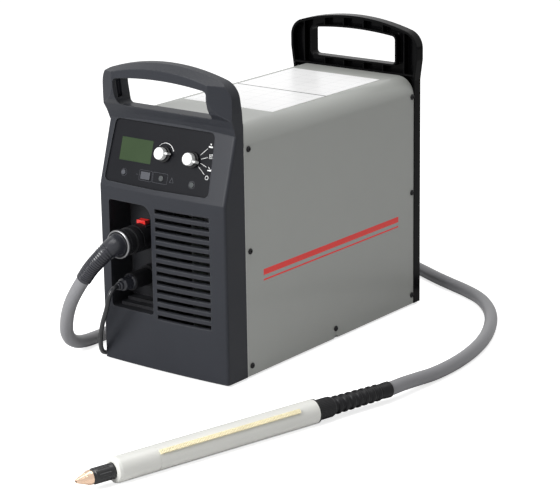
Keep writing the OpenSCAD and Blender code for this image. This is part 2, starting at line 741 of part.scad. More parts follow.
module work_plug() color([0.10, 0.10, 0.11]) {
    translate([work_x, front - work_boot_out + work_boot_l, work_z]) rotate([-90, 0, 0])
        cylinder(h = 33.5 + work_boot_out - work_boot_l, r = work_plug_r, $fn = 64);
    translate([work_x, front + 33, work_z]) rotate([-90, 0, 0]) cylinder(h = 11, r = 7, $fn = 48);
}

module work_boot() color([0.10, 0.10, 0.11])
    translate([work_x, front - work_boot_out, work_z]) rotate([-90, 0, 0]) rotate_extrude($fn = 64)
        polygon([[0, 0], [5, 0], [5, 4], [6.5, 5], [6.5, 9], [9.5, 12],
            [9.8, work_boot_l - 4], [11.5, work_boot_l], [0, work_boot_l]]);

// ---------- control panel ----------

module panel_overlay() color([0.12, 0.13, 0.16]) difference() {
    on_panel(depth = panel_face) rotate([90, 0, 0]) mirror([0, 0, 1]) linear_extrude(overlay_t)
        panel_shape(-0.3);
    on_panel(lcd_at) translate([-lcd_w / 2, -5, -lcd_h / 2]) cube([lcd_w, 20, lcd_h]);
    for (at = [adjust_at, mode_at]) on_panel(at) panel_round(bushing_r + 0.2, -5, 20);
    on_panel(pressure_at) panel_round(key_r + button_gap, -5, 20);
    for (at = [power_lamp_at, fault_lamp_at]) on_panel(at) panel_round(lamp_r + 0.1, -5, 20);
    on_panel(selector_at) translate([-selector_w / 2 - button_gap, -5, -selector_h / 2 - button_gap])
        cube([selector_w + 2 * button_gap, 20, selector_h + 2 * button_gap]);
}

module display_lens() color([0.30, 0.38, 0.26])
    on_panel(lcd_at, panel_face - 0.1) translate([0.2 - lcd_w / 2, 0, 0.2 - lcd_h / 2])
        cube([lcd_w - 0.4, overlay_t + 0.1, lcd_h - 0.4]);

module display_module() color([0.15, 0.30, 0.20])
    on_panel(lcd_at, panel_face + overlay_t) translate([-lcd_w / 2, 0, -lcd_h / 2])
        cube([lcd_w, board_y - panel_face - overlay_t, lcd_h]);

module control_board() color([0.05, 0.30, 0.15]) on_panel(depth = board_y) translate([-84, 0, 12])
    cube([168, board_t, 84]);

// Round knob cap with a bore and a raised pointer
module knob(at, turn) {
    on_panel(at, panel_face) difference() {
        union() {
            panel_round(knob_r, -knob_h, -0.6);
            panel_round(knob_r + 2.6, -4, -0.6);
            rotate([0, -turn, 0]) translate([knob_r - 3, -knob_h * 0.7, -1.6])
                cube([7.5, knob_h * 0.7 - 1, 3.2]);
        }
        panel_round(shaft_r, -knob_h + 3, 0);
    }
}

// Shaft from a switch body up into its knob
module knob_shaft(at) on_panel(at, panel_face) panel_round(shaft_r, -knob_h + 3.5, 8);

// Body behind the panel with a bushing that the shaft turns in
module switch_body(at) {
    on_panel(at, panel_face) difference() {
        union() {
            translate([-8, overlay_t + shelf_t + 0.3, -8])
                cube([16, board_y - panel_face - overlay_t - shelf_t - 0.3, 16]);
            panel_round(bushing_r, -0.3, overlay_t + shelf_t + 0.3 + eps);
        }
        panel_round(shaft_r + shaft_gap, -2, 9);
    }
}

module adjust_knob() color([0.92, 0.92, 0.90]) knob(adjust_at, 8);
module adjust_shaft() color([0.7, 0.7, 0.7]) knob_shaft(adjust_at);
module adjust_encoder() color([0.2, 0.2, 0.2]) switch_body(adjust_at);
module mode_knob() color([0.92, 0.92, 0.90]) knob(mode_at, -12);
module mode_shaft() color([0.7, 0.7, 0.7]) knob_shaft(mode_at);
module mode_switch() color([0.2, 0.2, 0.2]) switch_body(mode_at);

module pressure_button() color([0.45, 0.46, 0.48])
    on_panel(pressure_at, panel_face) panel_round(key_r, -1.4, board_y - panel_face - key_travel - 1);

module selector_button() color([0.55, 0.57, 0.62])
    on_panel(selector_at, panel_face) translate([-selector_w / 2, -1.2, -selector_h / 2])
        cube([selector_w, board_y - panel_face - key_travel, selector_h]);

module panel_lamps() color([0.55, 0.60, 0.55])
    for (at = [power_lamp_at, fault_lamp_at]) on_panel(at, panel_face)
        panel_round(lamp_r, -0.8, board_y - panel_face);

// ---------- torch ----------

module torch_sleeve() color([0.90, 0.91, 0.90]) on_torch(sleeve_from) rotate_extrude($fn = 96)
    polygon([[cap_r + 0.4, 0], [14.5, 0], [16.6, 2], [sleeve_r, 6], [sleeve_r, 64], [sleeve_r - 0.3, 64],
        [sleeve_r - 0.3, 65], [sleeve_r, 65], [sleeve_r, sleeve_l],
        [sleeve_bore, sleeve_l], [sleeve_bore, 8], [cap_r + 0.4, 8]]);

// Toothed strip on the sleeve's upper side, tipped towards the front
rack_tip = 47;
rack_n = floor(rack_l / rack_pitch);
module torch_rack() color([0.88, 0.80, 0.50]) on_torch(rack_from) rotate([0, 0, rack_tip]) difference() {
    translate([-rack_w / 2, -sleeve_r - 2.6, 0]) cube([rack_w, 2.9, rack_l]);
    translate([0, 0, -1]) cylinder(h = rack_l + 2, r = sleeve_r, $fn = 96);
    for (i = [0 : rack_n - 1]) translate([0, -sleeve_r - 2.6, (i + 0.5) * rack_pitch]) rotate([0, 90, 0])
        cylinder(h = rack_w + 2, r = rack_pitch * 0.36, center = true, $fn = 4);
}

module torch_core() color([0.15, 0.15, 0.15]) on_torch() rotate_extrude($fn = 64)
    polygon([[0, 34], [6.5, 34], [6.5, shield_l + 22], [8.5, shield_l + 22], [8.5, sleeve_from + 8.6],
        [sleeve_bore - 0.3, sleeve_from + 8.6], [sleeve_bore - 0.3, sleeve_to - 6], [0, sleeve_to - 6]]);

module retaining_cap() color([0.12, 0.12, 0.12]) on_torch(shield_l - 3) difference() {
    rotate_extrude($fn = 64) polygon([[8, 0], [9.6, 0], [10, 3.2], [cap_r, 4], [cap_r, cap_l + 10],
        [9, cap_l + 10], [9, 6], [8, 6]]);
    for (a = [0 : 30 : 330]) rotate([0, 0, a]) translate([cap_r + 1.4, 0, 8])
        cylinder(h = cap_l - 12, r = 2, $fn = 24);
}

module torch_shield() color([0.72, 0.45, 0.25]) on_torch() difference() {
    rotate_extrude($fn = 64) polygon([[1.5, 0], [2.6, 0], [9.8, 19], [9.8, shield_l - 3.2],
        [7.6, shield_l - 3.2],
        [7.6, 19], [5.2, 12], [1.5, 5]]);
    for (a = [0 : 45 : 315]) rotate([0, 0, a]) translate([6.6, 0, 9]) rotate([0, 20, 0])
        cylinder(h = 9, r = 0.9, center = true, $fn = 24);
}

module torch_nozzle() color([0.80, 0.50, 0.30]) on_torch() rotate_extrude($fn = 64)
    polygon([[0.7, 6.6], [1.3, 6.6], [4.6, 13], [7, 20], [7, 32], [5.6, 32], [5.6, 20], [3.4, 13.6],
        [0.7, 9]]);

module torch_electrode() color([0.78, 0.48, 0.28]) on_torch() rotate_extrude($fn = 48)
    polygon([[0, 12], [2.2, 12], [3.4, 17], [3.4, 26], [4.6, 27], [4.6, 34], [0, 34]]);

// Ribbed strain relief on the torch's tail
module torch_strain_relief() color([0.10, 0.10, 0.11]) on_torch(sleeve_to) difference() {
    union() {
        cylinder(h = 3, r = sleeve_r, $fn = 96);
        translate([0, 0, 3 - eps]) cylinder(h = 30, r = 14.6, $fn = 64);
        translate([0, 0, 30]) cylinder(h = relief_l - 30, r = 11.2, $fn = 48);
        for (i = [0 : 6]) translate([0, 0, 38 + 12 * i]) cylinder(h = 7, r = 13 - 0.17 * i, $fn = 48);
        translate([0, 0, relief_l - 9]) cylinder(h = 9, r = 11.6, $fn = 48);
    }
    translate([0, 0, relief_l - relief_bore_l])
        cylinder(h = relief_bore_l + 10, r = lead_r + 0.3, $fn = 48);
}

// ---------- work lead and clamp ----------

module work_cable() color([0.08, 0.08, 0.08]) 
    swept([for (p = cable_route) placed(p)], [for (p = cable_route) cable_r], 10);
module work_cable_tail() color([0.08, 0.08, 0.08]) 
    swept([for (p = tail_route) placed(p)], [for (p = tail_route) cable_r], 10);

module work_cable_coil() color([0.08, 0.08, 0.08])
    translate([coil_at.x, coil_at.y, coil_low]) rotate_extrude($fn = 64)
        translate([coil_turn_r - cable_r * coil_layers, 0])
            square([2 * cable_r * coil_layers, 2 * cable_r * coil_layers]);

tie_in = 0.1;
tie_t = 0.9;
tie_bow = 0.4;
module coil_tie() color([0.2, 0.2, 0.2]) {
    side = 2 * cable_r * coil_layers + 2 * tie_in;
    // the coil bows in by a little over the strap's width
    translate([coil_at.x, coil_at.y + coil_turn_r - tie_bow / 2, coil_low + side / 2 - tie_in])
        difference() {
        cube([9, side + tie_bow + 2 * tie_t, side + 2 * tie_t], center = true);
        cube([11, side + tie_bow, side], center = true);
    }
}

// One half of the spring clamp, drawn with its jaw towards +X
module clamp_half(lug_z) {
    outer = [[56, 1], [58, 9], [40, 17], [20, 17], [0, 14], [-20, 18], [-60, 30], [-62, 24], [-22, 12],
        [0, 8], [14, 11], [36, 10], [48, 4], [48, 1]];
    linear_extrude(clamp_h) polygon(outer);
    difference() {
        for (z = [lug_z, clamp_h - lug_z - clamp_t]) translate([0, 0, z]) linear_extrude(clamp_t)
            polygon([[-8, 11], [-6, -3], [0, -6], [6, -3], [11, 11]]);
        translate([0, 0, -1]) cylinder(h = clamp_h + 2, r = pin_r + 0.05, $fn = 32);
    }
}

module clamp_fixed_jaw() color([0.55, 0.56, 0.57]) translate(clamp_at) difference() {
    clamp_half(0);
    translate([-70, 22, clamp_h / 2]) rotate([0, 90, 0]) cylinder(h = 24, r = cable_r + 0.2, $fn = 32);
}
module clamp_moving_jaw() color([0.55, 0.56, 0.57]) translate(clamp_at) mirror([0, 1, 0])
    clamp_half(clamp_t + 0.3);

module clamp_pin() color([0.7, 0.7, 0.7]) translate(clamp_at) {
    translate([0, 0, -0.8]) cylinder(h = clamp_h + 1.6, r = pin_r, $fn = 32);
    for (z = [-pin_head, clamp_h + 0.2]) translate([0, 0, z])
        cylinder(h = pin_head - 0.2, r = pin_r + 2, $fn = 32);
}

// Torsion spring round the clamp's pin, between the inner lugs
clamp_wire = 0.9;
clamp_turns = 5;
clamp_spring_low = 2 * clamp_t + 0.3 + clamp_wire;
clamp_points = [for (a = [0 : 30 : 360 * clamp_turns])
    [5 * cos(a), 5 * sin(a),
        clamp_spring_low + (clamp_h - 2 * clamp_spring_low) * a / (360 * clamp_turns)]];
module clamp_spring() color([0.7, 0.7, 0.7]) translate(clamp_at)
    swept(clamp_points, [for (p = clamp_points) clamp_wire], 6);

// ---------- inside ----------

divider_x = -8;
divider_front = front + bezel_d + 30;
divider_back = rear - rear_d - fan_d - 30;
module divider_panel() color([0.65, 0.66, 0.66])
    translate([divider_x, divider_front, floor_gap + sheet])
        cube([divider_t, divider_back - divider_front, 320]);

sink_x = divider_x + divider_t;
sink_w = 62;
module heatsink() color([0.75, 0.76, 0.78]) translate([sink_x, front + 150, 150]) {
    cube([8, 200, 110]);
    for (i = [0 : fin_count - 1]) translate([8 - eps, 0, i * (110 - 3) / (fin_count - 1)])
        cube([sink_w - 8, 200, 3]);
}

board_x = divider_x - 8;
module power_board() color([0.05, 0.28, 0.14]) translate([board_x - 2, front + 100, 110]) {
    cube([2, 260, 200]);
    for (y = [12, 248], z = [12, 188]) translate([2 - eps, y, z]) rotate([0, 90, 0])
        cylinder(h = divider_x - board_x + eps, r = 4, $fn = 32);
}

module bus_capacitors() color([0.12, 0.16, 0.30])
    for (i = [0 : 3]) translate([board_x - 2, front + 140 + i * (2 * capacitor_r + 6), 270])
        rotate([0, -90, 0])
        cylinder(h = capacitor_l, r = capacitor_r, $fn = 64);

module transformer() color([0.25, 0.22, 0.20]) translate([sink_x + 8, front + 170, floor_gap + sheet]) {
    difference() {
        cube([78, 90, 78]);
        translate([15, -1, 15]) cube([18, 92, 48]);
        translate([45, -1, 15]) cube([18, 92, 48]);
    }
    translate([33 - eps, -8, 18]) cube([12 + 2 * eps, 106, 42]);
}

module output_inductor() color([0.62, 0.36, 0.16])
    translate([sink_x + 46, front + 330, floor_gap + sheet + 14])
    rotate_extrude($fn = 64) translate([27, 0]) circle(14, $fn = 48);

// Square fan frame with a spider that carries the rotor's shaft
module fan_frame() color([0.12, 0.12, 0.13]) translate([fan_x, fan_back - fan_d, fan_z])
    rotate([-90, 0, 0]) {
    linear_extrude(fan_d) difference() {
        round_rect(fan_w, fan_w, 6);
        circle(fan_w / 2 - 3, $fn = 96);
        for (x = [-1, 1], y = [-1, 1]) translate([x, y] * (fan_w / 2 - 7)) circle(2.2, $fn = 24);
    }
    cylinder(h = 4, r = hub_r + 1, $fn = 48);
    for (a = [0 : 90 : 270]) rotate([0, 0, a + 20]) translate([hub_r, -2, 0])
        cube([fan_w / 2 - 2.5 - hub_r, 4, 4]);
    cylinder(h = fan_d - 8, r = shaft_r, $fn = 32);
}
module fan_rotor() color([0.15, 0.15, 0.16]) translate([fan_x, fan_back - fan_d + 5, fan_z])
    rotate([-90, 0, 0]) difference() {
    union() {
        cylinder(h = fan_d - 9, r = hub_r, $fn = 64);
        for (i = [0 : blade_count - 1]) rotate([0, 0, 360 / blade_count * i])
            translate([hub_r - 1, 0, (fan_d - 9) / 2])
            rotate([38, 0, 0]) translate([0, -1.2, -15]) cube([fan_w / 2 - 7 - hub_r, 2.4, 30]);
    }
    translate([0, 0, -1]) cylinder(h = fan_d - 10, r = shaft_r + shaft_gap, $fn = 32);
}

module air_valve() color([0.70, 0.70, 0.66]) translate([filter_x - 18, rear - rear_d - 70, 70]) {
    cube([36, 50, 60]);
    translate([18, 25, 60 - eps]) cylinder(h = 45, r = 14, $fn = 48);
    // bracket down to the base pan
    translate([0, 0, floor_gap + sheet - 70]) cube([36, 3, 70 - floor_gap - sheet + eps]);
    translate([0, 0, floor_gap + sheet - 70]) cube([36, 40, 2]);
}

// ---------- rear fittings ----------

module power_switch_body() color([0.15, 0.15, 0.15]) translate([switch_x, rear, mains_z]) difference() {
    union() {
        translate([-21, eps, -21]) cube([42, 3, 42]);
        translate([0, -26, 0]) rotate([-90, 0, 0]) cylinder(h = 27, r = 10.8, $fn = 48);
        translate([-18, -50, -20]) cube([36, 50 - wall - 0.3, 40]);
    }
    translate([0, -20, 0]) rotate([-90, 0, 0]) cylinder(h = 40, r = shaft_r + shaft_gap, $fn = 32);
}

module power_switch_knob() color([0.80, 0.12, 0.10]) translate([switch_x, rear + 3.3, mains_z]) {
    rotate([-90, 0, 0]) cylinder(h = 8, r = 15, $fn = 64);
    translate([-3.5, 7, -14]) cube([7, 10, 28]);
    translate([0, -20, 0]) rotate([-90, 0, 0]) cylinder(h = 21, r = shaft_r, $fn = 32);
}

module mains_gland() color([0.14, 0.14, 0.14]) translate([mains_x, rear, mains_z]) difference() {
    union() {
        translate([0, -wall - 6, 0]) rotate([-90, 0, 0]) cylinder(h = 10, r = mains_r + 4.8, $fn = 64);
        rotate([-90, 0, 0]) cylinder(h = 7, r = mains_r + 9, $fn = 6);
        translate([0, 7 - eps, 0]) rotate([-90, 0, 0]) cylinder(h = 14, r = mains_r + 5.5, $fn = 64);
        translate([0, -wall - 6, 0]) rotate([-90, 0, 0]) cylinder(h = 5.7, r = mains_r + 8, $fn = 6);
    }
    translate([0, -20, 0]) rotate([-90, 0, 0]) cylinder(h = 60, r = mains_r, $fn = 64);
}

// Filter head on the rear panel, with its bowl below and the supply nipple behind
module air_filter() color([0.30, 0.31, 0.32]) translate([filter_x, rear, filter_z]) {
    translate([0, -24, 0]) rotate([-90, 0, 0]) cylinder(h = 25, r = 6.8, $fn = 48);
    translate([-19, eps, -12]) cube([38, 40, 44]);
    translate([0, 20, -56]) cylinder(h = 45, r = 17, $fn = 64);
    translate([0, 40 - eps, 8]) rotate([-90, 0, 0]) cylinder(h = 26, r = nipple_r, $fn = 48);
}

front_bezel();
rear_panel();
cover();
base_pan();
feet();
cover_screws();
top_labels();
connector_tub();
torch_socket();
release_button();
release_spring();
torch_plug();
plug_collar();
torch_boot();
work_socket();
work_plug();
work_boot();
panel_overlay();
display_lens();
display_module();
control_board();
adjust_knob();
adjust_shaft();
adjust_encoder();
mode_knob();
mode_shaft();
mode_switch();
pressure_button();
selector_button();
panel_lamps();
torch_sleeve();
torch_rack();
torch_core();
retaining_cap();
torch_shield();
torch_nozzle();
torch_electrode();
torch_strain_relief();
torch_lead();
work_cable();
work_cable_coil();
work_cable_tail();
coil_tie();
clamp_fixed_jaw();
clamp_moving_jaw();
clamp_pin();
clamp_spring();
divider_panel();
heatsink();
power_board();
bus_capacitors();
transformer();
output_inductor();
fan_frame();
fan_rotor();
power_switch_body();
power_switch_knob();
mains_gland();
air_filter();
air_valve();
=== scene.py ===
"""Plasma cutter unit with its machine torch and work lead: looks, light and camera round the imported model."""

import json  # noqa: E402
import logging  # noqa: E402
import math  # noqa: E402
from dataclasses import dataclass, field  # noqa: E402
from enum import Enum  # noqa: E402
from typing import Optional, Sequence  # noqa: E402

import bmesh  # noqa: E402
import bpy  # noqa: E402
import numpy as np  # noqa: E402
from mathutils import Matrix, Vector  # noqa: E402


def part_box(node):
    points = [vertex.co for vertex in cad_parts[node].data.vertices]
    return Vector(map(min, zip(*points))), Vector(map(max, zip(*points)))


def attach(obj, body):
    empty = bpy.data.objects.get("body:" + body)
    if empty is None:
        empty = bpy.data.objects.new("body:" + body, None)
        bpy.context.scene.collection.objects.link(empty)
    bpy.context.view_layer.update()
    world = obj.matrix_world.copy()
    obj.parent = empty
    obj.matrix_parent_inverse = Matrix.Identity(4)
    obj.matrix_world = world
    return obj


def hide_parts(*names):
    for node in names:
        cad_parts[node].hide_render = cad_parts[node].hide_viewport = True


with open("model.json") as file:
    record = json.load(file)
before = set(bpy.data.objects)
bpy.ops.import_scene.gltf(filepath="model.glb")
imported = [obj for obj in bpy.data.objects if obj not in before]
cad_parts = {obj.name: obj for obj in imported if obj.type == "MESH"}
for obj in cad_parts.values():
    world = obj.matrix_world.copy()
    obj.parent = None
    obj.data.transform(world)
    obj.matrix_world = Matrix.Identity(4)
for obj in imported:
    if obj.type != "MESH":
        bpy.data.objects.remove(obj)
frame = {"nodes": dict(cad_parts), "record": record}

Array = np.ndarray
MeshParts = tuple[Array, Array, list[list[int]]]
Socket = bpy.types.NodeSocket
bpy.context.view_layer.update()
MM = 0.001
LOG = logging.getLogger("plasma_cutter")
SLOT_OF: dict[str, str] = {p["node"]: p["material_slot"] for p in frame["record"]["subparts"]}
BODY_OF: dict[str, str] = {n: b for b, ns in frame["record"]["behaviour"]["bodies"].items() for n in ns}
UNIT = "unit"
SAME_POINT = 1e-7
UP = (0.0, 0.0, 1.0)


# ---------- geometry in numpy ----------


def unit_rows(v: Array) -> Array:
    """Each row of v at length 1."""
    return v / np.linalg.norm(v, axis=-1, keepdims=True)


def smooth_path(points: Sequence[Sequence[float]], spacing: float) -> Array:
    """Cubic Hermite curve through points, on chord length.

    The slope at a point is the mean of the slopes of its two chords, each weighted by the
    length of the other, so that the curve passes every point without a kink.
    """
    p = np.asarray(points, float)
    chord = np.linalg.norm(np.diff(p, axis=0), axis=1)
    slope = np.diff(p, axis=0) / chord[:, None]
    inner = (slope[:-1] * chord[1:, None] + slope[1:] * chord[:-1, None]) / (chord[:-1] + chord[1:])[:, None]
    tangent = np.concatenate([slope[:1], inner, slope[-1:]])
    s = np.concatenate([[0.0], np.cumsum(chord)])
    t = np.linspace(0, s[-1], max(3, int(round(s[-1] / spacing)) + 1))
    i = np.clip(np.searchsorted(s, t, side="right") - 1, 0, len(chord) - 1)
    h, c = ((t - s[i]) / chord[i])[:, None], chord[i][:, None]
    return (
        (2 * h**3 - 3 * h**2 + 1) * p[i]
        + (h**3 - 2 * h**2 + h) * c * tangent[i]
        + (3 * h**2 - 2 * h**3) * p[i + 1]
        + (h**3 - h**2) * c * tangent[i + 1]
    )


def arc_length(path: Array) -> Array:
    """Distance along a path at each of its points."""
    return np.concatenate([[0.0], np.cumsum(np.linalg.norm(np.diff(path, axis=0), axis=1))])


def ring_angles(count: int) -> Array:
    """Angles of count places round a circle."""
    return np.arange(count) * (2 * math.pi / count)


@dataclass
class Surface:
    """A grid of points that becomes a piece: rows along one parameter, columns along the other.

    Attributes:
        name: the piece's name.
        grid: points by row and column, in metres.
        loop_rows: the last row joins the first.
        loop_columns: the last column joins the first.
        caps: the first and the last row are closed with a face.
        crease: edges sharper than this many degrees stay sharp.
    """

    name: str
    grid: Array
    loop_rows: bool = False
    loop_columns: bool = True
    caps: bool = True
    crease: float = 35.0

    def mesh_parts(self) -> MeshParts:
        """Points, quads and caps of the grid.

        Returns:
            The points in one list, the quads as rows of four, and the caps' loops.
        """
        rows, columns = self.grid.shape[:2]
        index = np.arange(rows * columns).reshape(rows, columns)
        a = index if self.loop_rows else index[:-1]
        b = np.roll(index, -1, 0) if self.loop_rows else index[1:]
        if self.loop_columns:
            quads = np.stack([a, np.roll(a, -1, 1), np.roll(b, -1, 1), b], -1)
        else:
            quads = np.stack([a[:, :-1], a[:, 1:], b[:, 1:], b[:, :-1]], -1)
        ends: list[list[int]] = []
        if self.caps and self.loop_columns and not self.loop_rows:
            ends = [index[0][::-1].tolist(), index[-1].tolist()]
        return self.grid.reshape(-1, 3), quads.reshape(-1, 4), ends

    def piece(self, closed: bool = True) -> bpy.types.Object:
        """The piece as an object at the origin, with its place in its mesh.

        Args:
            closed: the surface encloses a volume, so its normals are turned outwards.
        """
        return piece_of(self.name, [self.mesh_parts()], self.crease, closed)


def piece_of(
    name: str, parts: Sequence[MeshParts], crease: float = 35.0, closed: bool = True
) -> bpy.types.Object:
    """One piece from several lists of points and faces.

    Args:
        name: the piece's name.
        parts: points, quads and other faces of each part.
        crease: edges sharper than this many degrees stay sharp.
        closed: every part encloses a volume.
    """
    start, points, faces = 0, [], []
    for p, quads, ends in parts:
        points.append(p)
        faces.extend((quads + start).tolist())
        faces.extend([[i + start for i in end] for end in ends])
        start += len(p)
    mesh = bpy.data.meshes.new(name)
    mesh.from_pydata(np.concatenate(points), [], faces)
    work = bmesh.new()
    work.from_mesh(mesh)
    bmesh.ops.remove_doubles(work, verts=work.verts, dist=SAME_POINT)
    bmesh.ops.dissolve_degenerate(work, edges=work.edges, dist=SAME_POINT / 10)
    if closed:
        bmesh.ops.recalc_face_normals(work, faces=work.faces)
    work.to_mesh(mesh)
    work.free()
    mesh.polygons.foreach_set("use_smooth", np.ones(len(mesh.polygons), bool))
    mesh.set_sharp_from_angle(angle=math.radians(crease))
    made = bpy.data.objects.new(name, mesh)
    bpy.context.scene.collection.objects.link(made)
    return made


def tube_grid(path: Array, radius: Array | float, sides: int) -> Array:
    """Rings of radius round a path: each ring spans the path's side direction and the one across both.

    Args:
        path: the line that the rings follow.
        radius: one radius, or one for each point.
        sides: points in a ring.
    """
    tangent = unit_rows(np.gradient(path, axis=0))
    side = unit_rows(np.cross(UP, tangent))
    up = np.cross(tangent, side)
    a = ring_angles(sides)[None, :, None]
    r = np.broadcast_to(np.asarray(radius, float), (len(path),))[:, None, None]
    return path[:, None] + r * (np.cos(a) * side[:, None] + np.sin(a) * up[:, None])


def lathe_grid(
    profile: Sequence[Sequence[float]],
    place: Matrix,
    sides: int = 48,
    flutes: int = 0,
    depth: Array | float = 0.0,
) -> Array:
    """A profile of (radius, height) turned round the Z axis of a place.

    The radius at the angle a is r - depth (1 - cos(flutes a)) / 2.

    Args:
        profile: radius and height, in millimetres.
        place: where the axis is, in metres.
        sides: points round it.
        flutes: grooves round it.
        depth: how deep they are, once or at each point of the profile, in millimetres.
    """
    r, z = np.asarray(profile, float).T * MM
    a = ring_angles(sides)
    deep = np.broadcast_to(np.asarray(depth, float) * MM, (len(r),))
    r = r[:, None] - deep[:, None] * (1 - np.cos(flutes * a)) / 2
    local = np.stack([r * np.cos(a), r * np.sin(a), np.broadcast_to(z[:, None], r.shape)], -1)
    return placed(local, place)


def placed(points: Array, place: Matrix) -> Array:
    """Points turned and moved by a matrix."""
    m = np.array(place)
    return points @ m[:3, :3].T + m[:3, 3]


def rounded_profile(corners: Sequence[tuple[float, float, float]], steps: int = 4) -> Array:
    """A profile whose corners are rounded by quadratic curves.

    A corner is x, y and how far from it its rounding starts.
    """
    c = np.asarray(corners, float)
    out = [c[:1, :2]]
    t = np.linspace(0, 1, steps + 1)[:, None]
    for before, here, after in zip(c[:-2], c[1:-1], c[2:]):
        if here[2] <= 0:
            out.append(here[None, :2])
            continue
        a = here[:2] + unit_rows(before[:2] - here[:2]) * here[2]
        b = here[:2] + unit_rows(after[:2] - here[:2]) * here[2]
        out.append((1 - t) ** 2 * a + 2 * t * (1 - t) * here[:2] + t**2 * b)
    out.append(c[-1:, :2])
    return np.concatenate(out)


def prism_parts(outline: Array, low: float, high: float, place: Matrix) -> MeshParts:
    """A flat outline carried from one height to another.

    Args:
        outline: x and y of the outline, in metres.
        low: height of its first face.
        high: height of its other face.
        place: where its plane is.

    Returns:
        Points, quads and ends, as Surface.mesh_parts gives them.
    """
    rows = [np.column_stack([outline, np.full(len(outline), h)]) for h in (low, high)]
    return Surface("prism", placed(np.stack(rows), place)).mesh_parts()


def round_rect(w: float, h: float, r: float, steps: int = 6) -> Array:
    """Outline of a rectangle with round corners, about its middle."""
    a = np.linspace(0, math.pi / 2, steps + 1)
    corner = np.column_stack([np.cos(a), np.sin(a)]) * r
    turns = [(1, 1, 0), (-1, 1, 1), (-1, -1, 2), (1, -1, 3)]
    out = []
    for sx, sy, k in turns:
        c, s = math.cos(k * math.pi / 2), math.sin(k * math.pi / 2)
        out.append(corner @ np.array([[c, s], [-s, c]]) + [sx * (w / 2 - r), sy * (h / 2 - r)])
    return np.concatenate(out)


def circle_points(x: float, y: float, r: float, start: float = 0, end: float = 360, steps: int = 32) -> Array:
    """Points of a circle or of an arc of it, angles in degrees."""
    a = np.radians(np.linspace(start, end, steps + 1))
    return np.column_stack([x + r * np.cos(a), y + r * np.sin(a)])


# ---------- finishes ----------


def linear(rgb: Sequence[float]) -> tuple[float, float, float, float]:
    """A colour given as 0 to 255 on a screen, as linear light."""
    c = np.asarray(rgb, float) / 255
    out = np.where(c <= 0.04045, c / 12.92, ((c + 0.055) / 1.055) ** 2.4)
    return (float(out[0]), float(out[1]), float(out[2]), 1.0)


DUST = (150, 148, 142)
# Patterns, in metres: pitch and half width of rules, or middle and half width of bands
LABEL_COLUMNS, LABEL_ROWS, LABEL_SEAM = (0.034, 0.00025), (0.0212, 0.00022), (0.0415, 0.0009)
STRIPE_WIDE, STRIPE_FINE, STRIPE_RUN = (0.152, 0.0045), (0.1405, 0.0013), (0.014, 0.173)
PIXEL = (0.0009, 0.00009)
WEAVE_RATE = 5200.0


class Pattern(Enum):
    """What a finish carries besides its grain."""

    PLAIN = "plain"
    LABEL = "label"
    STRIPE = "stripe"
    WEAVE = "weave"
    PIXELS = "pixels"
    BRUSHED = "brushed"


@dataclass(frozen=True)
class Finish:
    """One finish, from its colour to its wear.

    Attributes:
        colour: 0 to 255 on a screen.
        roughness: of the clean surface.
        metallic: 1 for bare metal.
        coat: weight of a clear coat.
        specular: the shader's specular level.
        grain: height of the fine moulding texture, in metres.
        mottle: how far the colour wanders over a few centimetres.
        edge: radius of the softened edges, in metres.
        wear: how much the edges are rubbed bright, 0 to 1.
        worn_and_highlight: colour of a rubbed edge, of a label's seam, and of the painted highlight along the
            cover's front rim.
        dust: how much fine dust lies on it, 0 to 1.
        pattern: what it carries besides.
        accent: second colour of the pattern.
    """

    colour: tuple[float, float, float]
    roughness: float = 0.5
    metallic: float = 0.0
    coat: float = 0.0
    specular: float = 0.5
    grain: float = 0.00002
    mottle: float = 0.08
    edge: float = 0.0005
    wear: float = 0.0
    worn_and_highlight: tuple[float, float, float] = (160, 160, 160)
    dust: float = 0.0
    pattern: Pattern = Pattern.PLAIN
    accent: tuple[float, float, float] = (255, 255, 255)


class Graph:
    """Builds a node tree with short calls."""

    def __init__(self, tree: bpy.types.NodeTree) -> None:
        """Starts on an empty tree."""
        self.tree = tree
        tree.nodes.clear()

    def node(self, kind: str, inputs: Optional[dict] = None, **settings: object) -> bpy.types.Node:
        """Adds a node."""
        made = self.tree.nodes.new(kind)
        for key, value in settings.items():
            setattr(made, key, value)
        for key, value in (inputs or {}).items():
            if isinstance(value, Socket):
                self.tree.links.new(value, made.inputs[key])
            else:
                made.inputs[key].default_value = value
        return made

    def math(self, operation: str, *values: object, clamp: bool = False) -> Socket:
        """One arithmetic step on numbers or sockets."""
        made = self.node("ShaderNodeMath", dict(enumerate(values)), operation=operation, use_clamp=clamp)
        return made.outputs[0]

    def mix(self, factor: object, a: object, b: object, blend: str = "MIX") -> Socket:
        """Mixes two colours."""
        made = self.node("ShaderNodeMix", {0: factor, 6: a, 7: b}, data_type="RGBA", blend_type=blend)
        return made.outputs[2]

    def spread(self, value: object, low: float, high: float, to_low: float = 0, to_high: float = 1) -> Socket:
        """Maps a range of numbers on to another, and stops at its ends."""
        made = self.node("ShaderNodeMapRange", {0: value, 1: low, 2: high, 3: to_low, 4: to_high}, clamp=True)
        return made.outputs[0]

    def noise(self, where: Socket, scale: object, detail: float) -> Socket:
        """A noise from 0 to 1."""
        return self.node("ShaderNodeTexNoise", {"Vector": where, "Scale": scale, "Detail": detail}).outputs[0]

    def normal_up(self) -> Socket:
        """How far the surface faces up, from -1 to 1."""
        normal = self.node("ShaderNodeNewGeometry").outputs["Normal"]
        return self.node("ShaderNodeSeparateXYZ", {0: normal}).outputs[2]


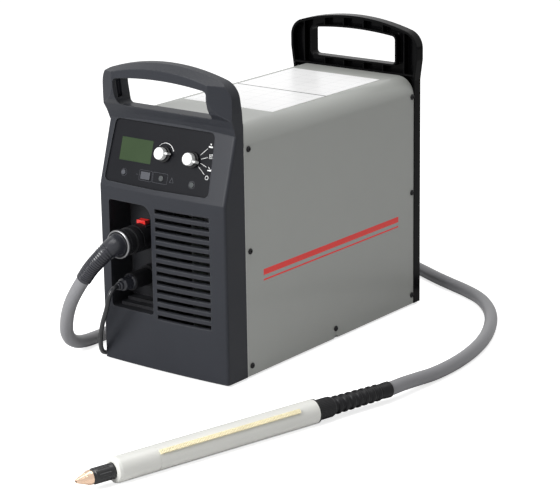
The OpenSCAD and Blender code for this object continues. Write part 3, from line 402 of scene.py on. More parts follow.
def shared_group(
    name: str, inputs: dict[str, Optional[float]], outputs: Sequence[str]
) -> tuple[Graph, bpy.types.Node, bpy.types.Node]:
    """An empty node group with named sockets.

    Args:
        name: the group's name.
        inputs: the default of each number that comes in, and None for a vector.
        outputs: names of what goes out: a vector for "Normal", else a number.

    Returns:
        Its graph, its input node and its output node.
    """
    tree = bpy.data.node_groups.new(name, "ShaderNodeTree")
    for key, default in inputs.items():
        kind = "NodeSocketVector" if default is None else "NodeSocketFloat"
        made = tree.interface.new_socket(name=key, in_out="INPUT", socket_type=kind)
        if default is not None:
            made.default_value = default
    for key in outputs:
        kind = "NodeSocketVector" if key == "Normal" else "NodeSocketFloat"
        tree.interface.new_socket(name=key, in_out="OUTPUT", socket_type=kind)
    graph = Graph(tree)
    return graph, graph.node("NodeGroupInput"), graph.node("NodeGroupOutput")


class Effects:
    """The effects that the finishes share, each a node group built once."""

    def __init__(self) -> None:
        """Builds the groups."""
        self.grain = self._grain()
        self.edges = self._edges()
        self.handling = self._handling()

    @staticmethod
    def _grain() -> bpy.types.NodeTree:
        """Fine moulding texture: a sum of two noises, a height from -0.5 to 0.5."""
        g, i, o = shared_group("moulding_grain", {"Vector": None, "Scale": 1800.0}, ["Height"])
        fine = g.noise(i.outputs[0], i.outputs[1], 2.0)
        broad = g.noise(i.outputs[0], g.math("MULTIPLY", i.outputs[1], 0.23), 1.0)
        total = g.math("ADD", g.math("MULTIPLY", fine, 0.65), g.math("MULTIPLY", broad, 0.35))
        g.tree.links.new(g.math("SUBTRACT", total, 0.5), o.inputs[0])
        return g.tree

    @staticmethod
    def _edges() -> bpy.types.NodeTree:
        """Soft edges: the normal turned over a radius, and a mask of its turn, broken up by noise."""
        g, i, o = shared_group(
            "soft_edges", {"Vector": None, "Radius": 0.0005, "Breakup": 0.5}, ["Mask", "Normal"]
        )
        bevel = g.node("ShaderNodeBevel", {"Radius": i.outputs[1]}, samples=4).outputs[0]
        flat = g.node("ShaderNodeNewGeometry").outputs["Normal"]
        same = g.node("ShaderNodeVectorMath", {0: bevel, 1: flat}, operation="DOT_PRODUCT").outputs["Value"]
        turned = g.spread(same, 0.995, 0.86)
        broken = g.math("MULTIPLY", g.spread(g.noise(i.outputs[0], 160.0, 3.0), 0.42, 0.62), i.outputs[2])
        kept = g.math("SUBTRACT", 1.0, broken)
        g.tree.links.new(g.math("MULTIPLY", turned, kept, clamp=True), o.inputs[0])
        g.tree.links.new(bevel, o.inputs[1])
        return g.tree

    @staticmethod
    def _handling() -> bpy.types.NodeTree:
        """Marks of use: slow mottling, and dust that lies where the surface faces up."""
        g, i, o = shared_group("handling", {"Vector": None, "Dust": 0.0}, ["Mottle", "Dust"])
        slow, speck = g.noise(i.outputs[0], 22.0, 4.0), g.noise(i.outputs[0], 900.0, 1.0)
        lies = g.math("MULTIPLY", g.spread(g.normal_up(), 0.2, 0.95), g.spread(speck, 0.45, 0.7))
        g.tree.links.new(g.math("SUBTRACT", slow, 0.5), o.inputs[0])
        g.tree.links.new(g.math("MULTIPLY", lies, i.outputs[1]), o.inputs[1])
        return g.tree


@dataclass
class Wardrobe:
    """Makes each finish's material once."""

    finishes: dict[str, Finish]
    effects: Effects = field(default_factory=Effects)
    made: dict[str, bpy.types.Material] = field(default_factory=dict)

    def material(self, slot: str) -> bpy.types.Material:
        """The material of a slot."""
        if slot not in self.made:
            self.made[slot] = self._build(slot, self.finishes[slot])
        return self.made[slot]

    def dress(self, piece: bpy.types.Object, slot: str) -> bpy.types.Object:
        """Gives a piece its slot's material."""
        piece.data.materials.clear()
        piece.data.materials.append(self.material(slot))
        return piece

    def _build(self, slot: str, f: Finish) -> bpy.types.Material:
        """Builds one material."""
        made = bpy.data.materials.new(slot)
        made.use_nodes = True
        g = Graph(made.node_tree)
        where = g.node("ShaderNodeTexCoord").outputs["Object"]
        grain, edges, handling = (
            g.node("ShaderNodeGroup", node_tree=group)
            for group in (self.effects.grain, self.effects.edges, self.effects.handling)
        )
        for group in (grain, edges, handling):
            g.tree.links.new(where, group.inputs[0])
        edges.inputs["Radius"].default_value = f.edge
        handling.inputs["Dust"].default_value = f.dust
        height, colour = grain.outputs[0], linear(f.colour)
        shade = g.math("ADD", 1.0, g.math("MULTIPLY", handling.outputs[0], f.mottle * 2))
        grey = g.node("ShaderNodeCombineColor", {0: shade, 1: shade, 2: shade}).outputs[0]
        tone, height = self._pattern(g, f, where, g.mix(1.0, colour, grey, "MULTIPLY"), height)
        tone = g.mix(g.math("MULTIPLY", edges.outputs[0], f.wear), tone, linear(f.worn_and_highlight))
        tone = g.mix(handling.outputs[1], tone, linear(DUST))
        rough = g.math("ADD", f.roughness, g.math("MULTIPLY", handling.outputs[0], 0.12), clamp=True)
        rough = g.math("SUBTRACT", rough, g.math("MULTIPLY", edges.outputs[0], 0.15 * f.wear), clamp=True)
        bump = g.node("ShaderNodeBump", {"Height": height, "Strength": 1.0, "Distance": f.grain})
        if f.edge > 0:
            g.tree.links.new(edges.outputs[1], bump.inputs["Normal"])
        inputs = {"Base Color": tone, "Roughness": rough, "Normal": bump.outputs[0]}
        shader = g.node("ShaderNodeBsdfPrincipled", inputs)
        shader.inputs["Metallic"].default_value = f.metallic
        shader.inputs["Coat Weight"].default_value = f.coat
        shader.inputs["Coat Roughness"].default_value = 0.12
        shader.inputs["Specular IOR Level"].default_value = f.specular
        g.node("ShaderNodeOutputMaterial", {"Surface": shader.outputs[0]})
        made.diffuse_color = colour
        return made

    @staticmethod
    def _pattern(g: Graph, f: Finish, where: Socket, tone: Socket, height: Socket) -> tuple[Socket, Socket]:
        """Adds a finish's pattern to the colour and the relief so far."""
        axes = g.node("ShaderNodeSeparateXYZ", {0: where})
        x, y, z = axes.outputs[0], axes.outputs[1], axes.outputs[2]

        def band(value: object, middle: float, half: float) -> Socket:
            """1 within half of a middle, with a soft edge of a tenth of a millimetre."""
            off = g.math("ABSOLUTE", g.math("SUBTRACT", value, middle))
            return g.spread(off, half - 0.00005, half + 0.00005, 1, 0)

        def rule(value: object, pitch: float, half: float) -> Socket:
            """Lines at a pitch."""
            return band(g.math("PINGPONG", value, pitch / 2), 0, half)

        if f.pattern is Pattern.LABEL:
            lines = g.math("MAXIMUM", rule(x, *LABEL_COLUMNS), rule(y, *LABEL_ROWS))
            tone = g.mix(g.math("MULTIPLY", lines, 0.45), tone, linear(f.accent))
            return g.mix(band(y, *LABEL_SEAM), tone, linear(f.worn_and_highlight)), height
        if f.pattern is Pattern.STRIPE:
            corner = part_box("cover")[0]
            side = g.math("GREATER_THAN", g.math("ABSOLUTE", x), -corner.x - 0.0005)
            both = g.math("MAXIMUM", band(z, *STRIPE_WIDE), band(z, *STRIPE_FINE))
            ends = g.math("MULTIPLY", both, band(y, *STRIPE_RUN))
            # painted highlight: a pale band just behind the cover's front edge stands in for the light that the
            # rolled sheet edge catches
            tone = g.mix(band(y, corner.y + 0.0007, 0.0009), tone, linear(f.worn_and_highlight))
            return g.mix(g.math("MULTIPLY", ends, side), tone, linear(f.accent)), height
        if f.pattern is Pattern.WEAVE:
            wave = g.math("SINE", g.math("MULTIPLY", g.math("ADD", x, y), WEAVE_RATE))
            other = g.math("SINE", g.math("MULTIPLY", g.math("SUBTRACT", z, x), WEAVE_RATE))
            weave = g.math("MULTIPLY", g.math("MULTIPLY", wave, other), 0.5)
            return g.mix(g.spread(weave, -0.5, 0.5, 0, 0.4), tone, linear(f.accent)), weave
        if f.pattern is Pattern.PIXELS:
            dots = g.math("MAXIMUM", rule(x, *PIXEL), rule(z, *PIXEL))
            return g.mix(g.math("MULTIPLY", dots, 0.12), tone, linear(f.accent)), height
        if f.pattern is Pattern.BRUSHED:
            long = g.node("ShaderNodeMapping", {"Vector": where, "Scale": (900.0, 18.0, 900.0)}).outputs[0]
            drawn = g.noise(long, 1.0, 2.0)
            return g.mix(g.spread(drawn, 0.35, 0.65, 0, 0.25), tone, linear(f.accent)), drawn
        return tone, height


FINISHES: dict[str, Finish] = {
    "charcoal_plastic": Finish(
        (38, 40, 46), 0.44, specular=0.26, grain=0.00003, edge=0.0025, wear=0.3, worn_and_highlight=(104, 105, 108),
        dust=0.06,
    ),
    "black_gloss_plastic": Finish((4, 4, 5), 0.2, specular=0.08, edge=0.0015, dust=0.01),
    # its pale second tone colours both the rubbed edges and the painted highlight along the cover's front rim
    "silver_paint": Finish(
        (168, 170, 166), 0.4, coat=0.2, grain=0.00001, mottle=0.03, edge=0.0006, wear=0.5,
        worn_and_highlight=(225, 225, 222), pattern=Pattern.STRIPE, accent=(250, 38, 28),
    ),
    "zinc_sheet": Finish((165, 168, 170), 0.4, metallic=1.0, mottle=0.2),
    "foot_rubber": Finish((22, 22, 23), 0.75),
    "black_screw": Finish((28, 28, 30), 0.35, metallic=0.6),
    "white_label": Finish(
        (252, 252, 252), 0.3, grain=0.0, mottle=0.02, edge=0.0, worn_and_highlight=(70, 71, 74), pattern=Pattern.LABEL,
        accent=(128, 130, 134),
    ),
    "recess_plastic": Finish((28, 29, 33), 0.5, edge=0.0015),
    "socket_plastic": Finish((20, 20, 23), 0.55, specular=0.3),
    "red_button": Finish((226, 40, 36), 0.3, coat=0.3, edge=0.0015),
    "spring_steel": Finish((150, 150, 152), 0.3, metallic=1.0),
    "collar_metal": Finish((34, 34, 37), 0.45, metallic=0.5),
    "boot_rubber": Finish((44, 45, 51), 0.24),
    "overlay_film": Finish((15, 16, 21), 0.4, specular=0.14, grain=0.00001),
    "display_glass": Finish(
        (54, 70, 47), 0.25, specular=0.15, grain=0.0, pattern=Pattern.PIXELS, accent=(40, 52, 36)
    ),
    "board_green": Finish((30, 88, 52), 0.4, coat=0.3),
    "knob_white": Finish((236, 237, 236), 0.3, grain=0.00001, mottle=0.02, edge=0.0006),
    "key_grey": Finish((60, 62, 69), 0.4),
    "lamp_lens": Finish((66, 70, 71), 0.15, coat=0.4),
    "sleeve_white": Finish((227, 227, 222), 0.32, grain=0.00001, mottle=0.03),
    "rack_brass": Finish((240, 230, 192), 0.35, metallic=0.1, mottle=0.1),
    "cap_black": Finish((22, 22, 24), 0.28, edge=0.0006),
    "copper": Finish((238, 206, 180), 0.24, metallic=1.0, mottle=0.2),
    "lead_grey": Finish((129, 129, 132), 0.38, mottle=0.06, dust=0.1),
    "cable_black": Finish((34, 35, 38), 0.3),
    "tie_fabric": Finish((34, 34, 36), 0.8, grain=0.0002, pattern=Pattern.WEAVE, accent=(70, 70, 74)),
    "clamp_steel": Finish((160, 162, 164), 0.34, metallic=1.0, mottle=0.2),
    "bare_aluminium": Finish(
        (196, 198, 200), 0.34, metallic=1.0, pattern=Pattern.BRUSHED, accent=(150, 152, 155)
    ),
    "capacitor_sleeve": Finish((28, 36, 58), 0.3, coat=0.4),
    "ferrite": Finish((46, 45, 46), 0.55),
    "winding_copper": Finish((62, 47, 38), 0.4, metallic=0.3),
    "gland_plastic": Finish((12, 12, 15), 0.4, specular=0.25),
    "filter_grey": Finish((150, 156, 160), 0.2, coat=0.4),
    "cast_valve": Finish((150, 150, 148), 0.55, metallic=0.8),
}


# ---------- places and routes, in millimetres ----------

LEAD_ROUTE = (
    (-58, -276.5, 193), (-58, -288, 192), (-61, -298, 187), (-68, -306, 177), (-79, -312, 163),
    (-93, -314, 144), (-106, -315.5, 125), (-120, -313, 105), (-134, -306, 84), (-147.5, -295.5, 63.5),
    (-158.5, -284, 43), (-166, -269, 27.5), (-171, -250.5, 17.2), (-174, -228, 11.7),
    (-175.5, -204, 10), (-176, -170, 10), (-177, -130, 10), (-176.5, -85, 10), (-175, -30, 10),
    (-173, 30, 10), (-172, 90, 10), (-172, 150, 10), (-172, 205, 10), (-170, 255, 10), (-162, 305, 10),
    (-144, 350, 10), (-115, 383, 10), (-77, 400, 10), (-37, 400, 10), (4, 388, 10), (40, 371, 10),
    (78, 352, 10), (118, 334, 10), (160, 316, 10), (198, 295, 10), (232, 265, 10), (262, 228, 10),
    (288, 184, 10), (312, 130, 10), (331, 62, 10), (339, -5, 10), (339, -55, 11), (336.5, -95, 14),
    (335.4, -125, 16.5), (333.39, -156.9, 17.5), (323.33, -195.61, 17.5),
)  # fmt: skip
CABLE_ROUTE = (
    (-60, -279.5, 130), (-60.1, -285.5, 129), (-60.6, -290.5, 125.8), (-61.6, -293.7, 120.8),
    (-63.2, -294.6, 114.8), (-66.4, -293.9, 106.5), (-71.5, -291.4, 96), (-79, -287.3, 84.5),
    (-88, -282, 71), (-97, -275.5, 57), (-104.5, -269.5, 43.5), (-111, -263, 30.5), (-116.5, -256, 19),
    (-121, -247.5, 10.3), (-124.3, -236.5, 5.2), (-126, -223, 3.6), (-127, -205, 3.5),
    (-127, -110, 3.5), (-127, -20, 3.5), (-127, 70, 3.5), (-127, 160, 3.5), (-126, 210, 3.5),
    (-121, 250, 3.5), (-111, 282, 4), (-104, 302, 4.5), (-102.5, 318, 4.7),
)  # fmt: skip
TAIL_ROUTE = (
    (-50, 263, 25.7), (-62, 263, 26.2), (-75, 263.3, 27.5), (-88, 264, 29.5), (-101.9, 266.7, 31.5),
    (-114.2, 274.8, 33.8), (-122.3, 287.1, 36.1), (-125, 301, 38.2), (-122.3, 314.9, 40),
    (-114.2, 327.2, 41.5), (-101.9, 335.3, 42.4), (-88, 338, 42.8), (-72, 338, 42.8),
)  # fmt: skip
TORCH_TIP = (202.08, -662.11, 17.5)
TORCH_AXIS = (0.25156, 0.96784, 0.0)
CLAMP_AT = (-20.0, 316.0, 30.8)
PANEL_FOOT = (-246.5, 268.3)
PANEL_SIN, PANEL_COS, PANEL_FACE = 0.2870, 0.9579, 1.5


def axis_place(origin: Sequence[float], axis: Sequence[float], across: Sequence[float]) -> Matrix:
    """A place whose Z axis is given, and whose X axis lies near another direction.

    Args:
        origin: its origin, in millimetres.
        axis: its Z axis.
        across: roughly its X axis.

    Returns:
        The matrix, in metres.
    """
    z = unit_rows(np.asarray(axis, float))
    x = np.asarray(across, float)
    x = unit_rows(x - z * (x @ z))
    y = np.cross(z, x)
    made = np.eye(4)
    made[:3, 0], made[:3, 1], made[:3, 2], made[:3, 3] = x, y, z, np.asarray(origin, float) * MM
    return Matrix(made.tolist())


def panel_place(x: float, up: float) -> Matrix:
    """A place on the control panel's face: X to the right, Y up the panel, Z out of it."""
    y = PANEL_FOOT[0] + PANEL_COS * PANEL_FACE + PANEL_SIN * up
    z = PANEL_FOOT[1] - PANEL_SIN * PANEL_FACE + PANEL_COS * up
    return axis_place((x, y, z), (0, -PANEL_COS, PANEL_SIN), (1, 0, 0))


# ---------- sub-assemblies ----------


@dataclass
class SubAssembly:
    """Pieces that are built together."""

    wardrobe: Wardrobe

    def add(
        self, piece: bpy.types.Object, slot: str, body: str = UNIT, replaced: Sequence[str] = ()
    ) -> bpy.types.Object:
        """Dresses a piece and ties it to a body, in place of the CAD nodes in `replaced`."""
        self.wardrobe.dress(piece, slot)
        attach(piece, body)
        if replaced:
            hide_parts(*replaced)
        LOG.info("%s: %d faces, rides on %s", piece.name, len(piece.data.polygons), body)
        return piece


@dataclass
class TorchLead(SubAssembly):
    """The torch's lead and the ribbed boot that bends it out of its plug.

    The boot's radii are in millimetres, at the first points of the route. Its grooves leave a plain
    length at both ends, `lip` rounds its end, and the lead reaches `overlap` into it. The lead has
    one ring for every `skip` of the boot's.
    """

    radius: float = 10 * MM
    boot_radii: tuple[float, ...] = (17.5, 14.8, 13.0, 12.4, 11.9, 11.5)
    smooth: float = 20 * MM
    plain_end: float = 5 * MM
    groove_pitch: float = 3.2 * MM
    groove_depth: float = 0.9 * MM
    lip: float = 1.2 * MM
    overlap: float = 10 * MM
    spacing: float = 0.4 * MM
    skip: int = 10

    def build(self) -> None:
        """Builds the boot and the lead along one line."""
        route = np.array(LEAD_ROUTE) * MM
        path = smooth_path(route, self.spacing)
        s = arc_length(path)
        stations = arc_length(route[: len(self.boot_radii)])
        boot = path[s <= stations[-1]]
        run = s[: len(boot)]
        base = np.interp(run, stations, np.array(self.boot_radii) * MM)
        wave = np.clip(np.cos(2 * math.pi * run / self.groove_pitch) * 3 - 1.4, 0, 1)
        groove = wave * self.groove_depth
        groove[(run < self.smooth) | (run > stations[-1] - self.plain_end)] = 0
        lip = self.lip * np.clip((run - stations[-1] + self.lip) / self.lip, 0, 1) ** 2
        grid = tube_grid(boot, base - groove - lip, 48)
        ribbed = Surface("torch_boot_ribbed", grid, crease=50).piece()
        self.add(ribbed, SLOT_OF["torch_boot"], replaced=["torch_boot"])
        self.collar()
        path = path[s >= stations[-1] - self.overlap][:: self.skip]
        lead = Surface("torch_lead_run", tube_grid(path, self.radius, 32)).piece()
        self.add(lead, "lead_grey", replaced=["torch_lead"])

    def collar(self) -> None:
        """Builds the plug's collar: a dark fluted ring with a polished rim."""
        place = axis_place((-58, -277.5, 193), (0, 1, 0), (1, 0, 0))
        profile = rounded_profile(
            [(18.7, 4, 0), (20.4, 4, 0.2), (20.9, 5, 0.4), (20.9, 10.2, 0.5), (20.2, 11, 0.3), (18.7, 11, 0)]
        )
        fluted = (profile[:, 1] > 5.5) & (profile[:, 1] < 9.8)
        grid = lathe_grid(profile, place, 216, flutes=36, depth=np.where(fluted, 0.35, 0.0))
        body = Surface("plug_collar_body", grid, loop_rows=True, caps=False).piece()
        self.add(body, "collar_metal", replaced=["plug_collar"])
        profile = rounded_profile(
            [(18.6, 3, 0), (18.6, 0.6, 0.5), (19.6, 0.1, 0.8), (21.3, 1.3, 1.2), (21.3, 4.4, 0.6),
             (20.4, 4.8, 0)]
        )
        rim = Surface("plug_collar_rim", lathe_grid(profile, place, 96), loop_rows=True, caps=False)
        self.add(rim.piece(), "spring_steel")


@dataclass
class WorkLead(SubAssembly):
    """The work lead, in one length from its boot through its coil to the clamp.

    The coil's centre, radii and layers are in millimetres and its angles in degrees: it starts at
    `start`, and each crossing to the next turn takes `shift`. The strap follows a rounded outline.
    """

    radius: float = 3.5 * MM
    centre: tuple[float, float] = (-50.0, 315.5)
    turn_radii: tuple[float, ...] = (52.5, 45.5, 38.5, 31.5)
    layers: tuple[float, ...] = (4.7, 11.7, 18.7, 25.7)
    start: float = 177.3
    last: float = 207.3
    shift: float = 50.0
    spacing: float = 3 * MM
    step: float = 4.0
    strap_thick: float = 1 * MM
    strap_round: float = 0.0042
    strap_turns: float = 1.3
    strap_gap: float = 0.1 * MM

    def coil(self) -> Array:
        """The coil's line, clockwise from above, layer on layer.

        Turn k lies at its own radius and height. The line crosses to turn k+1 over `shift` degrees,
        and a turn that changes layer lets its neighbour move away first.

        Returns:
            Points of the line, in metres.
        """
        places = [
            (r, z)
            for i, z in enumerate(self.layers)
            for r in (self.turn_radii if i % 2 == 0 else self.turn_radii[::-1])
        ]
        per = len(self.turn_radii)
        changes = [k % per == per - 1 for k in range(len(places) - 1)]
        ends, at = [], 360.0
        for k, change in enumerate(changes):
            ends.append(at)
            follows = k + 1 < len(changes) and change != changes[k + 1]
            at += 360 - (self.shift if follows else 0)
        total = ends[-1] + self.last
        phi = np.linspace(0, total, int(total / self.step))
        k = np.searchsorted(ends, phi, side="left")
        r_all, z_all = np.array(places).T
        nxt = np.minimum(k + 1, len(places) - 1)
        end = np.array([*ends, math.inf])[k]
        t = np.clip((phi - end + self.shift) / self.shift, 0, 1)
        t = t * t * (3 - 2 * t)
        r, z = r_all[k] * (1 - t) + r_all[nxt] * t, z_all[k] * (1 - t) + z_all[nxt] * t
        a = np.radians(self.start - phi)
        LOG.info("coil ends at %.1f degrees", (self.start - total) % 360)
        x, y = self.centre
        return np.column_stack([x + r * np.cos(a), y + r * np.sin(a), z]) * MM

    def boot(self) -> None:
        """Builds the stepped boot that holds the lead in its plug."""
        profile = rounded_profile(
            [(3.4, 1, 0), (3.6, 0.2, 0.2), (4.9, 0.1, 0.6), (5.1, 3.8, 0.3), (6.5, 5, 0.6), (6.7, 9, 0.6),
             (9.4, 12, 1.2), (9.8, 26, 0.6), (11.4, 29, 0.6), (11.4, 30, 0.2), (9, 30, 0)]
        )
        place = axis_place(CABLE_ROUTE[0], (0, 1, 0), (1, 0, 0))
        boot = Surface("work_boot_stepped", lathe_grid(profile, place, 72)).piece()
        self.add(boot, "boot_rubber", replaced=["work_boot"])

    def strap(self) -> None:
        """Builds the woven strap round the coil, its second turn laid over the first.

        A point of the strap is c(s) + (h(s) + v) n(s) + u x, with the outline c, its outward normal n, the
        step h that lifts the second turn over the first, and (u, v) on the strap's own rounded section.
        """
        low, high = (np.array(c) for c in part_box("coil_tie"))
        thick = self.strap_thick
        ring = round_rect(high[1] - low[1] - thick, high[2] - low[2] - thick, self.strap_round)
        ring = smooth_path(np.vstack([ring, ring[:1]]), thick / 2)[:-1]
        n = len(ring)
        k = np.arange(int(n * self.strap_turns))
        c = ring[k % n]
        t = unit_rows(np.roll(ring, -1, 0) - np.roll(ring, 1, 0))[k % n]
        out = np.column_stack([t[:, 1], -t[:, 0]])
        rise = np.clip((k / n - 0.93) / 0.07, 0, 1)
        lift = (thick + self.strap_gap) * rise * rise * (3 - 2 * rise)
        section = round_rect(high[0] - low[0], thick, thick * 0.45)
        flat = c[:, None] + (lift[:, None] + section[None, :, 1])[..., None] * out[:, None]
        middle = (low + high) / 2
        x = np.broadcast_to(middle[0] + section[:, 0], flat.shape[:2])
        grid = np.stack([x, middle[1] + flat[..., 0], middle[2] + flat[..., 1]], -1)
        self.add(Surface("coil_strap", grid).piece(), "tie_fabric", replaced=["coil_tie"])

    def build(self) -> None:
        """Builds the lead, its boot and the strap of its coil."""
        self.boot()
        self.strap()
        run, tail = (smooth_path(np.array(r) * MM, self.spacing) for r in (CABLE_ROUTE, TAIL_ROUTE))
        path = np.concatenate([run, self.coil()[1:], tail[1:]])
        lead = Surface("work_lead_run", tube_grid(path, self.radius, 16)).piece()
        self.add(lead, "cable_black", replaced=["work_cable", "work_cable_coil", "work_cable_tail"])


@dataclass
class WorkClamp(SubAssembly):
    """The dipped grips on the handles of the work clamp, in millimetres."""

    height: float = 24.0
    near: tuple[float, float] = (-27.0, 17.4)
    far: tuple[float, float] = (-63.2, 27.7)
    rows: int = 37
    thick: float = 8.6
    around: float = 2.2
    corner: float = 3.4
    ripples: int = 12

    def grip(self, name: str, side: int, body: str) -> None:
        """One grip, swept along its handle."""
        line = np.linspace(self.near, self.far, self.rows) * [1, side] + CLAMP_AT[:2]
        s = np.linspace(0, 1, self.rows)
        z = np.full(self.rows, CLAMP_AT[2] + self.height / 2)
        path = np.column_stack([line, z]) * MM
        end = np.clip((s - 0.94) / 0.06, 0, 1)
        swell = 1 + 0.03 * np.cos(s * math.pi * 2 * self.ripples) - 0.28 * end**2
        section = round_rect(self.thick * MM, (self.height + self.around) * MM, self.corner * MM)
        t = unit_rows(np.gradient(path, axis=0))
        across = np.cross(UP, t)
        grid = path[:, None] + swell[:, None, None] * (
            section[None, :, :1] * across[:, None] + section[None, :, 1:] * np.array(UP)
        )
        self.add(Surface(name, grid).piece(), "boot_rubber", body)

    def build(self) -> None:
        """Builds both grips."""
        self.grip("clamp_grip_fixed", 1, BODY_OF["clamp_fixed_jaw"])
        self.grip("clamp_grip_moving", -1, BODY_OF["clamp_moving_jaw"])


class Marks:
    """Thin raised prints on a flat place, gathered into one piece."""

    def __init__(self, thickness: float = 0.04) -> None:
        """Starts without any print; thickness is in millimetres."""
        self.thickness = thickness
        self.parts: list[MeshParts] = []

    def line(self, points: Sequence[Sequence[float]], width: float | Array, closed: bool = False) -> None:
        """Adds a line with mitred corners.

        Args:
            points: its points on the panel, in millimetres.
            width: how wide it is, once or at each point.
            closed: it comes back to its start.
        """
        p = np.asarray(points, float)
        seg = unit_rows(np.diff(np.vstack([p, p[:1]]) if closed else p, axis=0))
        before = np.roll(seg, 1, 0) if closed else np.vstack([seg[:1], seg])
        after = seg if closed else np.vstack([seg, seg[-1:]])
        n0, n1 = (np.column_stack([-v[:, 1], v[:, 0]]) for v in (before, after))
        m = n0 + n1
        m /= np.sum(m * n1, axis=1, keepdims=True)
        m *= np.broadcast_to(np.asarray(width, float), (len(p),))[:, None] / 2
        corners = [(p + m, 0.0), (p + m, self.thickness), (p - m, self.thickness), (p - m, 0.0)]
        grid = np.stack([np.column_stack([c, np.full(len(p), h)]) for c, h in corners], 1)
        face = placed(grid * MM, panel_place(0, 0))
        self.parts.append(Surface("line", face, loop_rows=closed).mesh_parts())

    def area(self, outline: Sequence[Sequence[float]]) -> None:
        """Adds a filled outline, in millimetres."""
        flat = np.asarray(outline, float) * MM
        self.parts.append(prism_parts(flat, 0, self.thickness * MM, panel_place(0, 0)))

    def piece(self, name: str) -> bpy.types.Object:
        """All prints as one piece."""
        return piece_of(name, self.parts)


@dataclass
class ControlPanel(SubAssembly):
    """Knob caps with their fluted skirts, and the panel's plain marks, in millimetres."""

    adjust_at: tuple[float, float] = (-5.2, 59.0)
    mode_at: tuple[float, float] = (47.2, 58.0)
    cap_r: float = 9.2
    cap_top: float = 15.0
    skirt_r: float = 11.8
    pressure_at: tuple[float, float] = (-75.0, 24.0)
    lamp_at: tuple[float, float] = (51.5, 22.5)
    icons: tuple[tuple[float, float], ...] = ((74.9, 81.5), (78.4, 66.7), (79.0, 49.0), (76.2, 36.3))
    ray_r: float = 14.5

    def knob(self, node: str, at: tuple[float, float], turn: float) -> None:
        """One knob: fluted black skirt, white cap and pointer."""
        place = panel_place(*at)
        body = BODY_OF[node]
        skirt = rounded_profile(
            [(3.2, 0.6, 0), (self.skirt_r, 0.6, 0.3), (self.skirt_r, 3.4, 0.6), (self.cap_r + 0.5, 4.4, 0.5),
             (self.cap_r + 0.4, 7.5, 0.4), (7, 7.6, 0)]
        )
        depth = np.where(skirt[:, 0] > self.cap_r + 0.45, 0.5, 0.0)
        grid = lathe_grid(skirt, place, 180, flutes=30, depth=depth)
        self.add(Surface(f"{node}_skirt", grid).piece(), "cap_black", body, [node])
        cap = rounded_profile(
            [(self.cap_r - 0.6, 7.0, 0), (self.cap_r, 7.0, 0.2), (self.cap_r - 0.35, self.cap_top, 1.6),
             (0.05, self.cap_top, 0)]
        )
        bar = round_rect(8.4 * MM, 3.0 * MM, 1.0 * MM) + [(self.cap_r + 0.2) * MM, 0]
        turned = place @ Matrix.Rotation(math.radians(turn), 4, "Z")
        parts = [
            Surface("cap", lathe_grid(cap, place, 64)).mesh_parts(),
            prism_parts(bar, 3.2 * MM, (self.cap_top - 2.6) * MM, turned),
        ]
        self.add(piece_of(f"{node}_cap", parts), "knob_white", body)

    def marks(self) -> None:
        """The white and the grey prints of the panel."""
        white, grey = Marks(), Marks()
        sweep = np.linspace(1, 0, 33)
        white.line(circle_points(*self.adjust_at, 16.2, 22, 142), 0.3 + 1.1 * sweep)
        for angle, icon in zip((36, 12, -12, -36), self.icons):
            a = math.radians(angle)
            start = np.array(self.mode_at) + self.ray_r * np.array([math.cos(a), math.sin(a)])
            toward = np.array(icon) - start
            white.line([start, start + toward * (1 - 6.5 / np.linalg.norm(toward))], 0.7)
        self._icons(white, self.icons)
        grey.line(circle_points(*self.pressure_at, 5.2)[:-1], 0.5, closed=True)
        grey.line(circle_points(*self.lamp_at, 5.4)[:-1], 0.5, closed=True)
        for x, w in ((-34.0, 24.0), (-7.0, 27.0)):
            grey.line(round_rect(w, 15.0, 2.0) + [x, 24], 0.45, closed=True)
        grey.line([(-52, 24), (-48, 24)], 0.5)
        grey.line([(11, 20.5), (14.5, 27.5), (18, 20.5)], 0.5, closed=True)
        self.add(white.piece("panel_marks_white"), "knob_white")
        self.add(grey.piece("panel_marks_grey"), "key_grey")

    @staticmethod
    def _icons(marks: Marks, at: Sequence[tuple[float, float]]) -> None:
        """Four plain signs: plate with a cut, mesh, groove, ring."""
        plate, mesh, groove, ring = np.array(at)
        marks.area(plate + [(-3.6, -2.6), (3.6, -2.6), (3.6, -0.6), (-3.6, -0.6)])
        marks.area(plate + [(1.5, 3.2), (0, 0), (-1.5, 3.2)])
        for k in (-3.0, -1.0, 1.0, 3.0):
            marks.line(mesh + [(k, -3.4), (k, 3.4)], 0.55)
        for k in (-2.4, 0.0, 2.4):
            marks.line(mesh + [(-3.8, k), (3.8, k)], 0.55)
        marks.area(groove + [(-3.8, -3), (3.8, -3), (3.8, 0.4), (0.6, -1.4), (-3.8, -1.4)])
        marks.line(groove + [(-2.8, 2.6), (0.6, -0.2)], 0.9)
        marks.line(circle_points(*ring, 2.6)[:-1], 0.8, closed=True)

    def build(self) -> None:
        """Builds the knobs and the marks."""
        self.knob("adjust_knob", self.adjust_at, 8)
        self.knob("mode_knob", self.mode_at, -12)
        self.marks()


